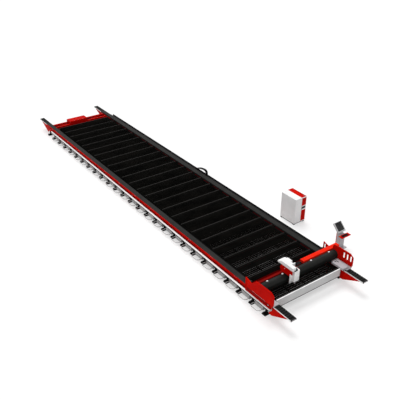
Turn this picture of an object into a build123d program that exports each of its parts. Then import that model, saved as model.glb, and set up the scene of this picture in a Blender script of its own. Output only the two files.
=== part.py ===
from build123d import *
import os

os.makedirs("parts", exist_ok=True)

# Fiber laser cutting machine with a long slat bed, a travelling gantry, slag carts,
# a power cabinet and an operator console, in millimetres.
# X runs along the bed towards the end where the gantry is parked, Y across it, Z up.
# The origin is on the floor under a cross frame, midway between the side beams.

# Bed layout
bay_pitch = 1000
rows_ahead = 13
cart_count = 25
loose_carts = 14
far_row_gap = 900
first_row_x = rows_ahead * bay_pitch
last_full_row_x = first_row_x - cart_count * bay_pitch
far_row_x = last_full_row_x - far_row_gap
row_places = [first_row_x - i * bay_pitch for i in range(cart_count + 1)] + [far_row_x]

# Side beams
beam_inner_y = 2228
beam_width = 304
beam_bottom_z = 400
beam_height = 360
beam_wall = 12
beam_near_margin = 420
beam_far_margin = 400
beam_outer_y = beam_inner_y + beam_width
beam_top_z = beam_bottom_z + beam_height
beam_near_x = first_row_x + beam_near_margin
beam_far_x = far_row_x - beam_far_margin
beam_mid_y = (beam_inner_y + beam_outer_y) / 2
beam_mid_x = (beam_near_x + beam_far_x) / 2
beam_length = beam_near_x - beam_far_x

# Overhangs that carry the rail covers past both ends
overhang = 1300
bracket_reach = 1030
bracket_tip_height = 60
bracket_low_z = 190
bracket_plate = 10
end_post_length = 200

# Rail covers
cover_wall = 4
cover_leg = 94
cover_rise = 66
cover_rib_pitch = 145
cover_rib_count = 8
cover_rib_width = 40
cover_rib_rise = 8
cover_top_z = beam_top_z + cover_rise + cover_wall

# Feet
foot_plate_length = 250
foot_plate_width = 330
foot_plate_thickness = 20
foot_post_size = 100
foot_post_y = 2450
foot_plate_y = 2490
first_middle_row = 3
middle_row_step = 5

# Cart rails and cross frames
cart_rail_top_z = 300
cart_rail_thickness = 6
cart_rail_width = 400
hanger_size = 80
cross_tube_width = 80
cross_tube_height = 200
cross_tube_wall = 8
cross_tube_bottom_z = 440
cross_tube_top_z = cross_tube_bottom_z + cross_tube_height

# Slat bed
slat_half_length = 2090
slat_thickness = 6
slat_height = 120
slats_per_bay = 7
stringer_width = 40
stringer_height = 60
stringer_count = 5
line_offset = 190
line_bar_width = 44
line_bar_height = 136
line_bar_wall = 6
stringer_top_z = cross_tube_top_z + stringer_height
slat_pitch = bay_pitch / (slats_per_bay + 1)
line_places = [first_row_x + line_offset - i * bay_pitch for i in range(cart_count + 1)]

# Front panel
panel_gap = 30
panel_thickness = 4
panel_half_length = 2020
panel_bottom_z = 500
panel_height = 430
panel_lip = 60
panel_x = beam_near_x - panel_gap

# Side duct on the left
duct_width = 148
duct_height = 100
duct_bottom_z = 500
duct_wall = 3
duct_far_gap = 1150
duct_far_x = beam_far_x + duct_far_gap
duct_top_z = duct_bottom_z + duct_height

# Travel rails and racks on the outer faces of the side beams
rail_height = 34
rail_depth = 24
rail_mid_z = 700
rack_height = 26
rack_depth = 30
rack_mid_z = 648
rail_end_gap = 150

# Cable trough and chain on the right
trough_gap = 138
trough_width = 180
trough_bottom_z = 600
trough_height = 130
trough_wall = 4
trough_far_gap = 900
trough_near_gap = 520
trough_bracket_length = 60
trough_bracket_height = 40
trough_inner_y = beam_outer_y + trough_gap
trough_outer_y = trough_inner_y + trough_width
trough_mid_y = (trough_inner_y + trough_outer_y) / 2
trough_far_x = beam_far_x + trough_far_gap
trough_near_x = beam_near_x - trough_near_gap
chain_side_gap = 12
chain_height = 60
chain_end_gap = 100
loop_offset = 700
loop_center_x = beam_mid_x + loop_offset
loop_radius = 185
loop_run = 1010
link_length = 96
link_gap = 14

# Slag carts
cart_body_half = 290
cart_flange_half = 330
cart_front_y = -2500
cart_length = 4880
cart_bottom_z = 60
cart_wall = 4
cart_running_gap = 0.3
bow_half_width = 320
bow_reach = 340
bow_bend = 110
bow_bar = 10
bow_height = 40
bow_bottom_z = 150

# Gantry
truck_clearance = 12
truck_plate_thickness = 50
truck_inner_y = 2250
truck_end_gap = 50
truck_front_gap = 10
truck_box_length = 740
truck_box_front_gap = 70
truck_box_inner_y = 2020
truck_box_width = 430
truck_box_height = 100
plate_gap = 68
plate_thickness = 12
plate_front_reach = 190
plate_length = 2010
plate_clearance = 30
plate_rim_depth = 36
plate_rim_wall = 10
beam_setback = 744
gantry_beam_depth = 260
gantry_beam_height = 290
gantry_beam_wall = 10
block_gap = 0.3
block_height = 70
block_length = 220
block_end_gap = 120
hood_wall = 4
hood_rise = 106
hood_overhang = 36
hood_radius = 210
hood_leg = 150
hood_front_drop = 360
hood_left_gap = 360
hood_right_gap = 100
plate_crest = 300
plate_inner_y = beam_outer_y + plate_gap
plate_front_x = beam_near_x + plate_front_reach
plate_rear_x = plate_front_x - plate_length
plate_bottom_z = duct_top_z + plate_clearance
truck_bottom_z = cover_top_z + cover_rib_rise + truck_clearance
gantry_beam_bottom_z = truck_bottom_z + truck_plate_thickness
gantry_beam_top_z = gantry_beam_bottom_z + gantry_beam_height
truck_rear_x = plate_rear_x + truck_end_gap
truck_front_x = plate_front_x - truck_front_gap
truck_box_rear_x = truck_front_x - truck_box_front_gap - truck_box_length
beam_rear_x = plate_rear_x + beam_setback
beam_front_x = beam_rear_x + gantry_beam_depth
hood_top_z = gantry_beam_top_z + hood_rise + hood_wall
hood_front_bottom_z = hood_top_z - hood_front_drop
plate_top_z = hood_top_z + plate_crest

# Trays and chain behind the gantry beam
tray_setback = 320
tray_width = 250
tray_wall = 4
tray_drop = 80
lower_tray_height = 80
upper_tray_gap = 20
upper_tray_setback = 400
upper_tray_height = 120
upper_tray_width = 250
upper_tray_start_y = 530
upper_tray_reach = 500
cross_chain_height = 60
cross_chain_start_y = -300
cross_chain_side_gap = 15
cross_chain_end_gap = 150
tray_rear_x = plate_rear_x + tray_setback
tray_mid_x = tray_rear_x + tray_width / 2
upper_tray_rear_x = plate_rear_x + upper_tray_setback
lower_tray_bottom_z = gantry_beam_top_z - tray_drop
lower_tray_top_z = lower_tray_bottom_z + lower_tray_height
upper_tray_bottom_z = lower_tray_top_z + upper_tray_gap
upper_tray_end_y = plate_inner_y + upper_tray_reach

# Cross rails and carriage
cross_rail_height = 34
cross_rail_depth = 24
upper_rail_drop = 70
lower_rail_rise = 80
upper_cross_rail_z = gantry_beam_top_z - upper_rail_drop
lower_cross_rail_z = gantry_beam_bottom_z + lower_rail_rise
carriage_y = -670
carriage_half = 220
carriage_plate = 20
carriage_gap = 40
hood_clearance = 45
hood_front_gap = 120
front_plate_thickness = 20
lift_rail_depth = 20
lift_rail_width = 40
lift_rail_top_gap = 20
lift_plate_drop = 170
head_offset = 35
head_depth = 220
head_width = 330
head_height = 610
head_wall = 3
nozzle_clearance = 4
nozzle_length = 260
head_y = carriage_y + head_offset
nozzle_tip_z = stringer_top_z + line_bar_height + nozzle_clearance
head_bottom_z = nozzle_tip_z + nozzle_length

# Power cabinet
cabinet_near_gap = 6000
cabinet_side_gap = 1150
cabinet_x = beam_near_x - cabinet_near_gap
cabinet_near_y = trough_outer_y + cabinet_side_gap
cabinet_length = 1200
cabinet_depth = 850
cabinet_height = 1620
cabinet_foot_height = 80
cabinet_wall = 4
cladding_depth = 370
cladding_wall = 6
door_thickness = 24
door_wall = 3
door_gap = 0.3
door_edge = 6
hinge_offset = 10
hinge_barrel_radius = 6
hinge_pin_radius = 3
hinge_knuckle_length = 60
hinge_ear_length = 12
hinge_inset = 250
source_length = 900
source_width = 600
source_height = 420
source_offset = 40

# Operator console
console_near_gap = 2320
console_side_gap = 1690
column_depth = 260
column_width = 380
column_height = 840
column_wall = 4
base_length = 640
base_width = 560
base_thickness = 20
stand_gap = 100
stand_thickness = 30
stand_width = 100
stand_top_gap = 45
neck_width = 80
neck_height = 250
neck_head = 35
tilt_pin_radius = 22
tilt_ear = 49
tilt_side_gap = 1
screen_width = 560
screen_height = 610
screen_depth = 90
screen_offset = 60
ear_long = 75
shelf_drop = 10
shelf_length = 270
shelf_width = 700
shelf_thickness = 30
shelf_wall = 3
shelf_pin_gap = 16
shelf_pin_radius = 5
shelf_knuckle_radius = 10
shelf_knuckle_width = 200
shelf_knuckle_drop = 12
shelf_ear_width = 12
keyboard_depth = 160
keyboard_width = 440
keyboard_height = 18
stop_edge_gap = 60
stop_side_gap = 40
stop_stem_radius = 12
stop_cap_radius = 20
stop_cap_height = 14
stop_ring_radius = 16
stop_ring_height = 4
stop_travel = 6
stop_cap_gap = 2
running_gap = 0.3
console_x = beam_near_x - console_near_gap
console_y = trough_outer_y + console_side_gap


def write(part, name):
    part.label = name
    export_step(part, f"parts/{name}.step")


# Side beams: rectangular tubes with an overhang bracket at each end
def overhang_bracket(end_x, way, mid_y):
    tip_x = end_x + way * bracket_reach
    post_x = end_x - way * end_post_length
    outline = [
        (post_x, beam_bottom_z),
        (end_x, beam_bottom_z),
        (end_x, beam_top_z),
        (tip_x, beam_top_z),
        (tip_x, beam_top_z - bracket_tip_height),
        (end_x, bracket_low_z),
        (post_x, bracket_low_z),
    ]
    with BuildPart() as bracket:
        for side in (-1, 1):
            face_y = mid_y + side * (beam_width / 2 - 2 * bracket_plate)
            with BuildSketch(Plane.XZ.offset(-face_y)):
                with BuildLine():
                    Polyline(*outline, close=True)
                make_face()
            extrude(amount=side * bracket_plate)
        with BuildSketch(Plane.XZ.offset(-mid_y)):
            with BuildLine():
                Polyline(
                    (end_x, bracket_low_z),
                    (tip_x, beam_top_z - bracket_tip_height),
                    (tip_x, beam_top_z - bracket_tip_height + bracket_plate),
                    (end_x, bracket_low_z + bracket_plate),
                    close=True,
                )
            make_face()
        extrude(amount=beam_width / 2 - 2 * bracket_plate, both=True)
    return bracket.part


def side_beam(side):
    mid_y = side * beam_mid_y
    with BuildPart() as beam:
        with BuildSketch(Plane.YZ.offset(beam_far_x)):
            with Locations((mid_y, beam_bottom_z + beam_height / 2)):
                Rectangle(beam_width, beam_height)
                Rectangle(beam_width - 2 * beam_wall, beam_height - 2 * beam_wall, mode=Mode.SUBTRACT)
        extrude(amount=beam_length)
        add(overhang_bracket(beam_near_x, 1, mid_y))
        add(overhang_bracket(beam_far_x, -1, mid_y))
    return beam.part


left_side_beam = side_beam(-1)
right_side_beam = side_beam(1)
write(left_side_beam, "left_side_beam")
write(right_side_beam, "right_side_beam")


# Rail covers: folded channels with cross ribs over the overhangs
def rail_cover(side):
    mid_y = side * beam_mid_y
    outer_width = beam_width + 2 * cover_wall
    with BuildPart() as cover:
        with BuildSketch(Plane.YZ.offset(beam_far_x - overhang)):
            with Locations((mid_y, cover_top_z)):
                Rectangle(outer_width, cover_leg, align=(Align.CENTER, Align.MAX))
            with Locations((mid_y, cover_top_z - cover_wall)):
                Rectangle(beam_width, cover_leg, align=(Align.CENTER, Align.MAX), mode=Mode.SUBTRACT)
            with Locations((mid_y, beam_top_z)):
                Rectangle(beam_width, cover_wall, align=(Align.CENTER, Align.MIN))
        extrude(amount=beam_length + 2 * overhang)
        for end_x, way in ((beam_near_x, 1), (beam_far_x, -1)):
            first_x = end_x + way * cover_rib_pitch / 2
            ribs = [(first_x + way * i * cover_rib_pitch, mid_y) for i in range(cover_rib_count)]
            with BuildSketch(Plane.XY.offset(cover_top_z)):
                with Locations(*ribs):
                    Rectangle(cover_rib_width, outer_width)
            extrude(amount=cover_rib_rise)
    return cover.part


left_rail_cover = rail_cover(-1)
right_rail_cover = rail_cover(1)
write(left_rail_cover, "left_rail_cover")
write(right_rail_cover, "right_rail_cover")

# Feet: plates with square posts under both beams, and under the middle of every fifth cart rail
with BuildPart() as levelling_feet:
    outer_plates = [(x, side * foot_plate_y) for x in row_places for side in (-1, 1)]
    outer_posts = [(x, side * foot_post_y) for x in row_places for side in (-1, 1)]
    middle_feet = [(x, 0) for x in row_places[first_middle_row:-1:middle_row_step]]
    with BuildSketch():
        with Locations(*outer_plates, *middle_feet):
            Rectangle(foot_plate_length, foot_plate_width)
    extrude(amount=foot_plate_thickness)
    with BuildSketch(Plane.XY.offset(foot_plate_thickness)):
        with Locations(*outer_posts):
            Rectangle(foot_post_size, foot_post_size)
    extrude(amount=beam_bottom_z - foot_plate_thickness)
    with BuildSketch(Plane.XY.offset(foot_plate_thickness)):
        with Locations(*middle_feet):
            Rectangle(foot_post_size, foot_post_size)
    extrude(amount=cart_rail_top_z - cart_rail_thickness - foot_plate_thickness)
write(levelling_feet.part, "levelling_feet")

# Cart rails: flat plates across the bed, between the outer posts
with BuildPart() as cart_rails:
    with BuildSketch(Plane.XY.offset(cart_rail_top_z - cart_rail_thickness)):
        with Locations(*[(x, 0) for x in row_places]):
            Rectangle(cart_rail_width, 2 * foot_post_y - foot_post_size)
    extrude(amount=cart_rail_thickness)
write(cart_rails.part, "cart_rails")

# Cross frames: rectangular tubes between the beams, each with a hanger for its cart rail
with BuildPart() as cross_frames:
    with BuildSketch(Plane.XZ.offset(-beam_inner_y)):
        with Locations(*[(x, cross_tube_bottom_z + cross_tube_height / 2) for x in row_places]):
            Rectangle(cross_tube_width, cross_tube_height)
            Rectangle(
                cross_tube_width - 2 * cross_tube_wall,
                cross_tube_height - 2 * cross_tube_wall,
                mode=Mode.SUBTRACT,
            )
    extrude(amount=2 * beam_inner_y)
    with BuildSketch(Plane.XY.offset(cart_rail_top_z)):
        with Locations(*[(x, 0) for x in row_places]):
            Rectangle(hanger_size, hanger_size)
    extrude(amount=cross_tube_bottom_z - cart_rail_top_z)
write(cross_frames.part, "cross_frames")

# Stringers along the bed, from the front panel to the last module bar
stringer_far_x = line_places[-1] - line_bar_width / 2
stringer_spacing = (2 * slat_half_length - stringer_width) / (stringer_count - 1)
with BuildPart() as bed_stringers:
    with BuildSketch(Plane.YZ.offset(stringer_far_x)):
        with Locations((0, cross_tube_top_z + stringer_height / 2)):
            with GridLocations(stringer_spacing, 1, stringer_count, 1):
                Rectangle(stringer_width, stringer_height)
    extrude(amount=panel_x - stringer_far_x)
write(bed_stringers.part, "bed_stringers")

# Support slats: upright blades across the bed, standing on the stringers
slat_places = [x - k * slat_pitch for x in line_places[:-1] for k in range(1, slats_per_bay + 1)]
with BuildPart() as support_slats:
    with BuildSketch(Plane.XY.offset(stringer_top_z)):
        with Locations(*[(x, 0) for x in slat_places]):
            Rectangle(slat_thickness, 2 * slat_half_length)
    extrude(amount=slat_height)
write(support_slats.part, "support_slats")

# Module bars: the lighter cross lines between the slat modules
with BuildPart() as module_bars:
    with BuildSketch(Plane.XZ.offset(-slat_half_length)):
        with Locations(*[(x, stringer_top_z + line_bar_height) for x in line_places]):
            Rectangle(line_bar_width, line_bar_wall, align=(Align.CENTER, Align.MAX))
            Rectangle(line_bar_wall, line_bar_height, align=(Align.CENTER, Align.MAX))
    extrude(amount=2 * slat_half_length)
write(module_bars.part, "module_bars")

# Front panel: a folded sheet with a lip along its top, against the ends of the stringers
with BuildPart() as front_panel:
    with BuildSketch(Plane.XZ.offset(-panel_half_length)):
        with BuildLine():
            Polyline(
                (panel_x, panel_bottom_z),
                (panel_x + panel_thickness, panel_bottom_z),
                (panel_x + panel_thickness, panel_bottom_z + panel_height),
                (panel_x + panel_thickness - panel_lip, panel_bottom_z + panel_height),
                (panel_x + panel_thickness - panel_lip, panel_bottom_z + panel_height - panel_thickness),
                (panel_x, panel_bottom_z + panel_height - panel_thickness),
                close=True,
            )
        make_face()
    extrude(amount=2 * panel_half_length)
write(front_panel.part, "front_panel")

# Rear frame: two cross tubes, diagonal braces and a raised box in the middle
rear_tube_size = 140
rear_tube_wall = 10
rear_tube_top_z = stringer_top_z
rear_tube_gap = 520
rear_tube_offset = 400
rear_tube_x = far_row_x + rear_tube_offset
rear_box_width = 1500
rear_box_middle_y = -180
rear_box_height = 210
rear_box_wall = 6
brace_width = 80
brace_depth = 55
with BuildPart() as rear_frame:
    for tube_x in (rear_tube_x, rear_tube_x - rear_tube_gap):
        with BuildSketch(Plane.XZ.offset(-beam_inner_y)):
            with Locations((tube_x, rear_tube_top_z - rear_tube_size / 2)):
                Rectangle(rear_tube_size, rear_tube_size)
                Rectangle(
                    rear_tube_size - 2 * rear_tube_wall,
                    rear_tube_size - 2 * rear_tube_wall,
                    mode=Mode.SUBTRACT,
                )
        extrude(amount=2 * beam_inner_y)
    brace_front_x = rear_tube_x - rear_tube_size / 2
    brace_rear_x = rear_tube_x - rear_tube_gap + rear_tube_size / 2
    for side in (-1, 1):
        with BuildSketch(Plane.XY.offset(rear_tube_top_z - brace_depth)):
            with BuildLine():
                Polyline(
                    (brace_rear_x, side * (beam_inner_y - 2 * brace_width)),
                    (brace_rear_x, side * (beam_inner_y - 4 * brace_width)),
                    (brace_front_x, side * (rear_box_width / 2)),
                    (brace_front_x, side * (rear_box_width / 2 + 2 * brace_width)),
                    close=True,
                )
            make_face()
        extrude(amount=brace_width / 2)
    with BuildSketch(Plane.XY.offset(rear_tube_top_z)):
        with Locations((rear_tube_x - rear_tube_gap / 2, rear_box_middle_y)):
            Rectangle(rear_tube_gap + rear_tube_size, rear_box_width)
    extrude(amount=rear_box_height)
    with BuildSketch(Plane.XY.offset(rear_tube_top_z)):
        with Locations((rear_tube_x - rear_tube_gap / 2, rear_box_middle_y)):
            Rectangle(rear_tube_gap - rear_tube_size - 2 * rear_box_wall, rear_box_width - 2 * rear_box_wall)
    extrude(amount=rear_box_height - rear_box_wall, mode=Mode.SUBTRACT)
write(rear_frame.part, "rear_frame")

# Side duct: a closed cable duct along the left beam
duct_mid_y = -(beam_outer_y + duct_width / 2)
with BuildPart() as side_duct:
    with BuildSketch(Plane.YZ.offset(duct_far_x)):
        with Locations((duct_mid_y, duct_bottom_z + duct_height / 2)):
            Rectangle(duct_width, duct_height)
            Rectangle(duct_width - 2 * duct_wall, duct_height - 2 * duct_wall, mode=Mode.SUBTRACT)
    extrude(amount=beam_near_x - duct_far_x)
write(side_duct.part, "side_duct")

# Linear rails and racks on the outer faces of both side beams
with BuildPart() as travel_rails:
    for side in (-1, 1):
        with BuildSketch(Plane.YZ.offset(beam_far_x + rail_end_gap)):
            with Locations((side * (beam_outer_y + rail_depth / 2), rail_mid_z)):
                Rectangle(rail_depth, rail_height)
        extrude(amount=beam_length - 2 * rail_end_gap)
write(travel_rails.part, "travel_rails")

with BuildPart() as gear_racks:
    for side in (-1, 1):
        with BuildSketch(Plane.YZ.offset(beam_far_x + rail_end_gap)):
            with Locations((side * (beam_outer_y + rack_depth / 2), rack_mid_z)):
                Rectangle(rack_depth, rack_height)
        extrude(amount=beam_length - 2 * rail_end_gap)
write(gear_racks.part, "gear_racks")

# Cable trough along the right beam, on brackets
with BuildPart() as cable_trough:
    with BuildSketch(Plane.YZ.offset(trough_far_x)):
        with Locations((trough_mid_y, trough_bottom_z)):
            Rectangle(trough_width, trough_height, align=(Align.CENTER, Align.MIN))
        with Locations((trough_mid_y, trough_bottom_z + trough_wall)):
            Rectangle(
                trough_width - 2 * trough_wall,
                trough_height,
                align=(Align.CENTER, Align.MIN),
                mode=Mode.SUBTRACT,
            )
    extrude(amount=trough_near_x - trough_far_x)
    bracket_mid_y = (beam_outer_y + trough_outer_y) / 2
    with BuildSketch(Plane.XY.offset(trough_bottom_z - trough_bracket_height)):
        with Locations(*[(x, bracket_mid_y) for x in row_places[1:-1:2]]):
            Rectangle(trough_bracket_length, trough_outer_y - beam_outer_y)
    extrude(amount=trough_bracket_height)
write(cable_trough.part, "cable_trough")

# Cable chain: a long run lying in the trough, and a loop of links turning back at mid-length
chain_width = trough_width - 2 * trough_wall - 2 * chain_side_gap
chain_bottom_z = trough_bottom_z + trough_wall
chain_mid_z = chain_bottom_z + chain_height / 2
loop_center_z = chain_mid_z + loop_radius + link_gap
bend_links = 7
slope_fall = 2 * loop_radius - chain_height
slope_links = int(loop_run / (link_length + link_gap))
slope_pitch = loop_run / slope_links
slope_end_angle = 25
with BuildPart() as cable_chain:
    with BuildSketch(Plane.XY.offset(chain_bottom_z)):
        with Locations(((trough_near_x + trough_far_x) / 2, trough_mid_y)):
            Rectangle(trough_near_x - trough_far_x - 2 * chain_end_gap, chain_width)
    extrude(amount=chain_height)
    with BuildSketch(Plane.XZ.offset(-(trough_mid_y + chain_width / 2))):
        with Locations((loop_center_x, loop_center_z)):
            with PolarLocations(loop_radius, bend_links, start_angle=-90, angular_range=180, endpoint=True):
                Rectangle(chain_height, link_length)
        for i in range(slope_links):
            share = (i + 0.5) / slope_links
            place_x = loop_center_x - loop_run * share
            place_z = loop_center_z + loop_radius - slope_fall * share * share
            with Locations(Location((place_x, place_z), slope_end_angle * share)):
                Rectangle(slope_pitch + link_gap, chain_height)
    extrude(amount=chain_width)
write(cable_chain.part, "cable_chain")


# Slag carts: open pans hanging by their flanges on the cart rails, with a bow handle
flange_bottom_z = cart_rail_top_z + cart_running_gap
cart_mid_y = cart_front_y + cart_length / 2
with BuildPart() as slag_cart:
    with BuildSketch(Plane.XY.offset(cart_bottom_z)):
        with Locations((0, cart_mid_y)):
            Rectangle(2 * cart_body_half, cart_length)
    extrude(amount=flange_bottom_z - cart_bottom_z)
    with BuildSketch(Plane.XY.offset(flange_bottom_z)):
        with Locations((0, cart_mid_y)):
            Rectangle(2 * cart_flange_half, cart_length)
    extrude(amount=cart_wall)
    with BuildSketch(Plane.XY.offset(cart_bottom_z + cart_wall)):
        with Locations((0, cart_mid_y)):
            Rectangle(2 * (cart_body_half - cart_wall), cart_length - 2 * cart_wall)
    extrude(amount=cart_rail_top_z, mode=Mode.SUBTRACT)
    with BuildSketch(Plane.XY.offset(bow_bottom_z)):
        with Locations((0, cart_front_y)):
            Rectangle(2 * bow_half_width, 2 * bow_reach)
            chamfer(vertices(), bow_bend)
            offset(amount=-bow_bar, mode=Mode.SUBTRACT, kind=Kind.INTERSECTION)
            Rectangle(
                3 * bow_half_width,
                2 * bow_reach,
                align=(Align.CENTER, Align.MIN),
                mode=Mode.SUBTRACT,
            )
            Rectangle(2 * bow_half_width, bow_bar, align=(Align.CENTER, Align.MAX))
    extrude(amount=bow_height)

cart_places = [first_row_x - bay_pitch / 2 - i * bay_pitch for i in range(cart_count)]
for index, cart_x in enumerate(cart_places[:loose_carts]):
    write(slag_cart.part.moved(Location((cart_x, 0, 0))), f"slag_cart_{index + 1:02d}")
far_carts = [slag_cart.part.moved(Location((cart_x, 0, 0))) for cart_x in cart_places[loose_carts:]]
write(Compound(children=far_carts), "far_slag_carts")


# Gantry end plates: tall profiled plates with a rim, the right one with windows and a slot
# for the upper tray
notch_length = 420
notch_drop = 50
rear_edge_rise = 70
rise_length = 310
crest_length = 350
brow_length = 210
brow_drop = 140
nose_height = 330
nose_length = 190
corner_radius = 60
notch_x = plate_rear_x + notch_length
notch_z = hood_top_z - notch_drop
rear_edge_z = hood_top_z + rear_edge_rise
crest_x = notch_x + rise_length
plate_outline = [
    (plate_rear_x, plate_bottom_z),
    (plate_rear_x, rear_edge_z),
    (notch_x, notch_z),
    (crest_x, plate_top_z - plate_rim_depth),
    (crest_x + crest_length, plate_top_z),
    (plate_front_x - brow_length, plate_top_z),
    (plate_front_x, plate_top_z - brow_drop),
    (plate_front_x, plate_bottom_z + nose_height),
    (plate_front_x - nose_length, plate_bottom_z),
]
window_width = 85
window_pitch = 225
window_height = 310
window_count = 3
window_end_gap = 88
window_drop = 120
rear_window_width = 70
rear_window_height = 240
rear_window_end_gap = 85
rear_window_drop = 80
tray_slot_gap = 3
window_mid_z = plate_top_z - window_drop - window_height / 2
rear_window_mid_z = rear_edge_z - rear_window_drop - rear_window_height / 2
last_window_x = plate_front_x - window_end_gap - window_width / 2
rear_window_x = plate_rear_x + rear_window_end_gap + rear_window_width / 2
front_windows = [(last_window_x - i * window_pitch, window_mid_z) for i in range(window_count)]


def end_plate(side, windows):
    inner = Plane.XZ.offset(-side * plate_inner_y)
    outer = Plane.XZ.offset(-side * (plate_inner_y + plate_thickness))
    with BuildPart() as plate:
        with BuildSketch(inner):
            with BuildLine():
                Polyline(*plate_outline, close=True)
            make_face()
            fillet(vertices().sort_by(Axis.X)[-4:], corner_radius)
            if windows:
                with Locations(*front_windows):
                    Rectangle(window_width, window_height, mode=Mode.SUBTRACT)
                with Locations((rear_window_x, rear_window_mid_z)):
                    Rectangle(rear_window_width, rear_window_height, mode=Mode.SUBTRACT)
        extrude(amount=-side * plate_thickness)
        with BuildSketch(outer):
            with BuildLine():
                Polyline(*plate_outline, close=True)
            make_face()
            fillet(vertices().sort_by(Axis.X)[-4:], corner_radius)
            offset(amount=-plate_rim_wall, kind=Kind.INTERSECTION, mode=Mode.SUBTRACT)
        extrude(amount=-side * plate_rim_depth)
        if windows:
            with BuildSketch(inner):
                with Locations((upper_tray_rear_x - tray_slot_gap, upper_tray_bottom_z - tray_slot_gap)):
                    Rectangle(
                        upper_tray_width + 2 * tray_slot_gap,
                        plate_top_z - upper_tray_bottom_z + tray_slot_gap,
                        align=(Align.MIN, Align.MIN),
                    )
            extrude(amount=-side * (plate_thickness + plate_rim_depth), mode=Mode.SUBTRACT)
    return plate.part


write(end_plate(-1, False), "left_end_plate")
write(end_plate(1, True), "right_end_plate")

# Gantry beam: a rectangular tube between the end plates
with BuildPart() as gantry_beam:
    with BuildSketch(Plane.XZ.offset(-plate_inner_y)):
        with Locations(((beam_rear_x + beam_front_x) / 2, (gantry_beam_bottom_z + gantry_beam_top_z) / 2)):
            Rectangle(gantry_beam_depth, gantry_beam_height)
            Rectangle(
                gantry_beam_depth - 2 * gantry_beam_wall,
                gantry_beam_height - 2 * gantry_beam_wall,
                mode=Mode.SUBTRACT,
            )
    extrude(amount=2 * plate_inner_y)
write(gantry_beam.part, "gantry_beam")

# Beam hood: a bent sheet over the beam, round at its front and closed at both ends
hood_rear_x = beam_rear_x - hood_wall
hood_front_x = beam_front_x + hood_overhang
hood_right_y = plate_inner_y - hood_right_gap
hood_left_y = hood_left_gap - plate_inner_y
with BuildPart() as beam_hood:
    with BuildSketch(Plane.XZ.offset(-hood_right_y)):
        with BuildLine():
            Polyline(
                (hood_rear_x, hood_top_z - hood_leg),
                (hood_rear_x, hood_top_z),
                (hood_front_x - hood_radius, hood_top_z),
            )
            RadiusArc(
                (hood_front_x - hood_radius, hood_top_z),
                (hood_front_x, hood_top_z - hood_radius),
                hood_radius,
            )
            Polyline(
                (hood_front_x, hood_top_z - hood_radius),
                (hood_front_x, hood_front_bottom_z),
                (hood_front_x - hood_wall, hood_front_bottom_z),
                (hood_front_x - hood_wall, hood_top_z - hood_radius),
            )
            RadiusArc(
                (hood_front_x - hood_wall, hood_top_z - hood_radius),
                (hood_front_x - hood_radius, hood_top_z - hood_wall),
                -(hood_radius - hood_wall),
            )
            Polyline(
                (hood_front_x - hood_radius, hood_top_z - hood_wall),
                (beam_rear_x, hood_top_z - hood_wall),
                (beam_rear_x, hood_top_z - hood_leg),
                (hood_rear_x, hood_top_z - hood_leg),
            )
        make_face()
    extrude(amount=hood_right_y - hood_left_y)
    for cap_y in (hood_right_y, hood_left_y + hood_wall):
        with BuildSketch(Plane.XZ.offset(-cap_y)):
            with BuildLine():
                Polyline(
                    (beam_rear_x, gantry_beam_top_z),
                    (beam_rear_x, hood_top_z - hood_wall),
                    (hood_front_x - hood_radius, hood_top_z - hood_wall),
                )
                RadiusArc(
                    (hood_front_x - hood_radius, hood_top_z - hood_wall),
                    (hood_front_x - hood_wall, hood_top_z - hood_radius),
                    hood_radius - hood_wall,
                )
                Polyline(
                    (hood_front_x - hood_wall, hood_top_z - hood_radius),
                    (hood_front_x - hood_wall, hood_front_bottom_z),
                    (beam_front_x, hood_front_bottom_z),
                    (beam_front_x, gantry_beam_top_z),
                    (beam_rear_x, gantry_beam_top_z),
                )
            make_face()
        extrude(amount=hood_wall)
write(beam_hood.part, "beam_hood")

# Hood blocks: small white blocks along the rear edge of the hood
hood_block_places = [2190, 930, -990, -1960]
hood_block_depth = 60
hood_block_width = 90
hood_block_height = 24
with BuildPart() as hood_blocks:
    with BuildSketch(Plane.XY.offset(hood_top_z)):
        with Locations(*[(beam_rear_x + hood_block_depth / 2, y) for y in hood_block_places]):
            Rectangle(hood_block_depth, hood_block_width)
    extrude(amount=hood_block_height)
write(hood_blocks.part, "hood_blocks")

# Trucks: plates under both ends of the beam, the right one with a drive box that has an L pocket
truck_mid_y = (truck_inner_y + plate_inner_y) / 2
truck_width = plate_inner_y - truck_inner_y
truck_box_mid_x = truck_box_rear_x + truck_box_length / 2
truck_box_mid_y = truck_box_inner_y + truck_box_width / 2
pocket_size = 180
pocket_arm = 60
pocket_setback = 40
pocket_depth = 60
pocket_x = truck_box_rear_x + pocket_setback + pocket_size / 2
with BuildPart() as gantry_trucks:
    with BuildSketch(Plane.XY.offset(truck_bottom_z)):
        with Locations(*[((truck_rear_x + truck_front_x) / 2, side * truck_mid_y) for side in (-1, 1)]):
            Rectangle(truck_front_x - truck_rear_x, truck_width)
    extrude(amount=truck_plate_thickness)
    with BuildSketch(Plane.XY.offset(gantry_beam_bottom_z)):
        with Locations((truck_box_mid_x, truck_box_mid_y)):
            Rectangle(truck_box_length, truck_box_width)
    extrude(amount=truck_box_height)
    with BuildSketch(Plane.XY.offset(gantry_beam_bottom_z + truck_box_height)):
        with Locations((pocket_x, truck_box_mid_y)):
            Rectangle(pocket_size, pocket_size)
            with Locations((pocket_arm, -pocket_arm)):
                Rectangle(pocket_size, pocket_size, mode=Mode.SUBTRACT)
    extrude(amount=-pocket_depth, mode=Mode.SUBTRACT)
write(gantry_trucks.part, "gantry_trucks")

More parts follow.
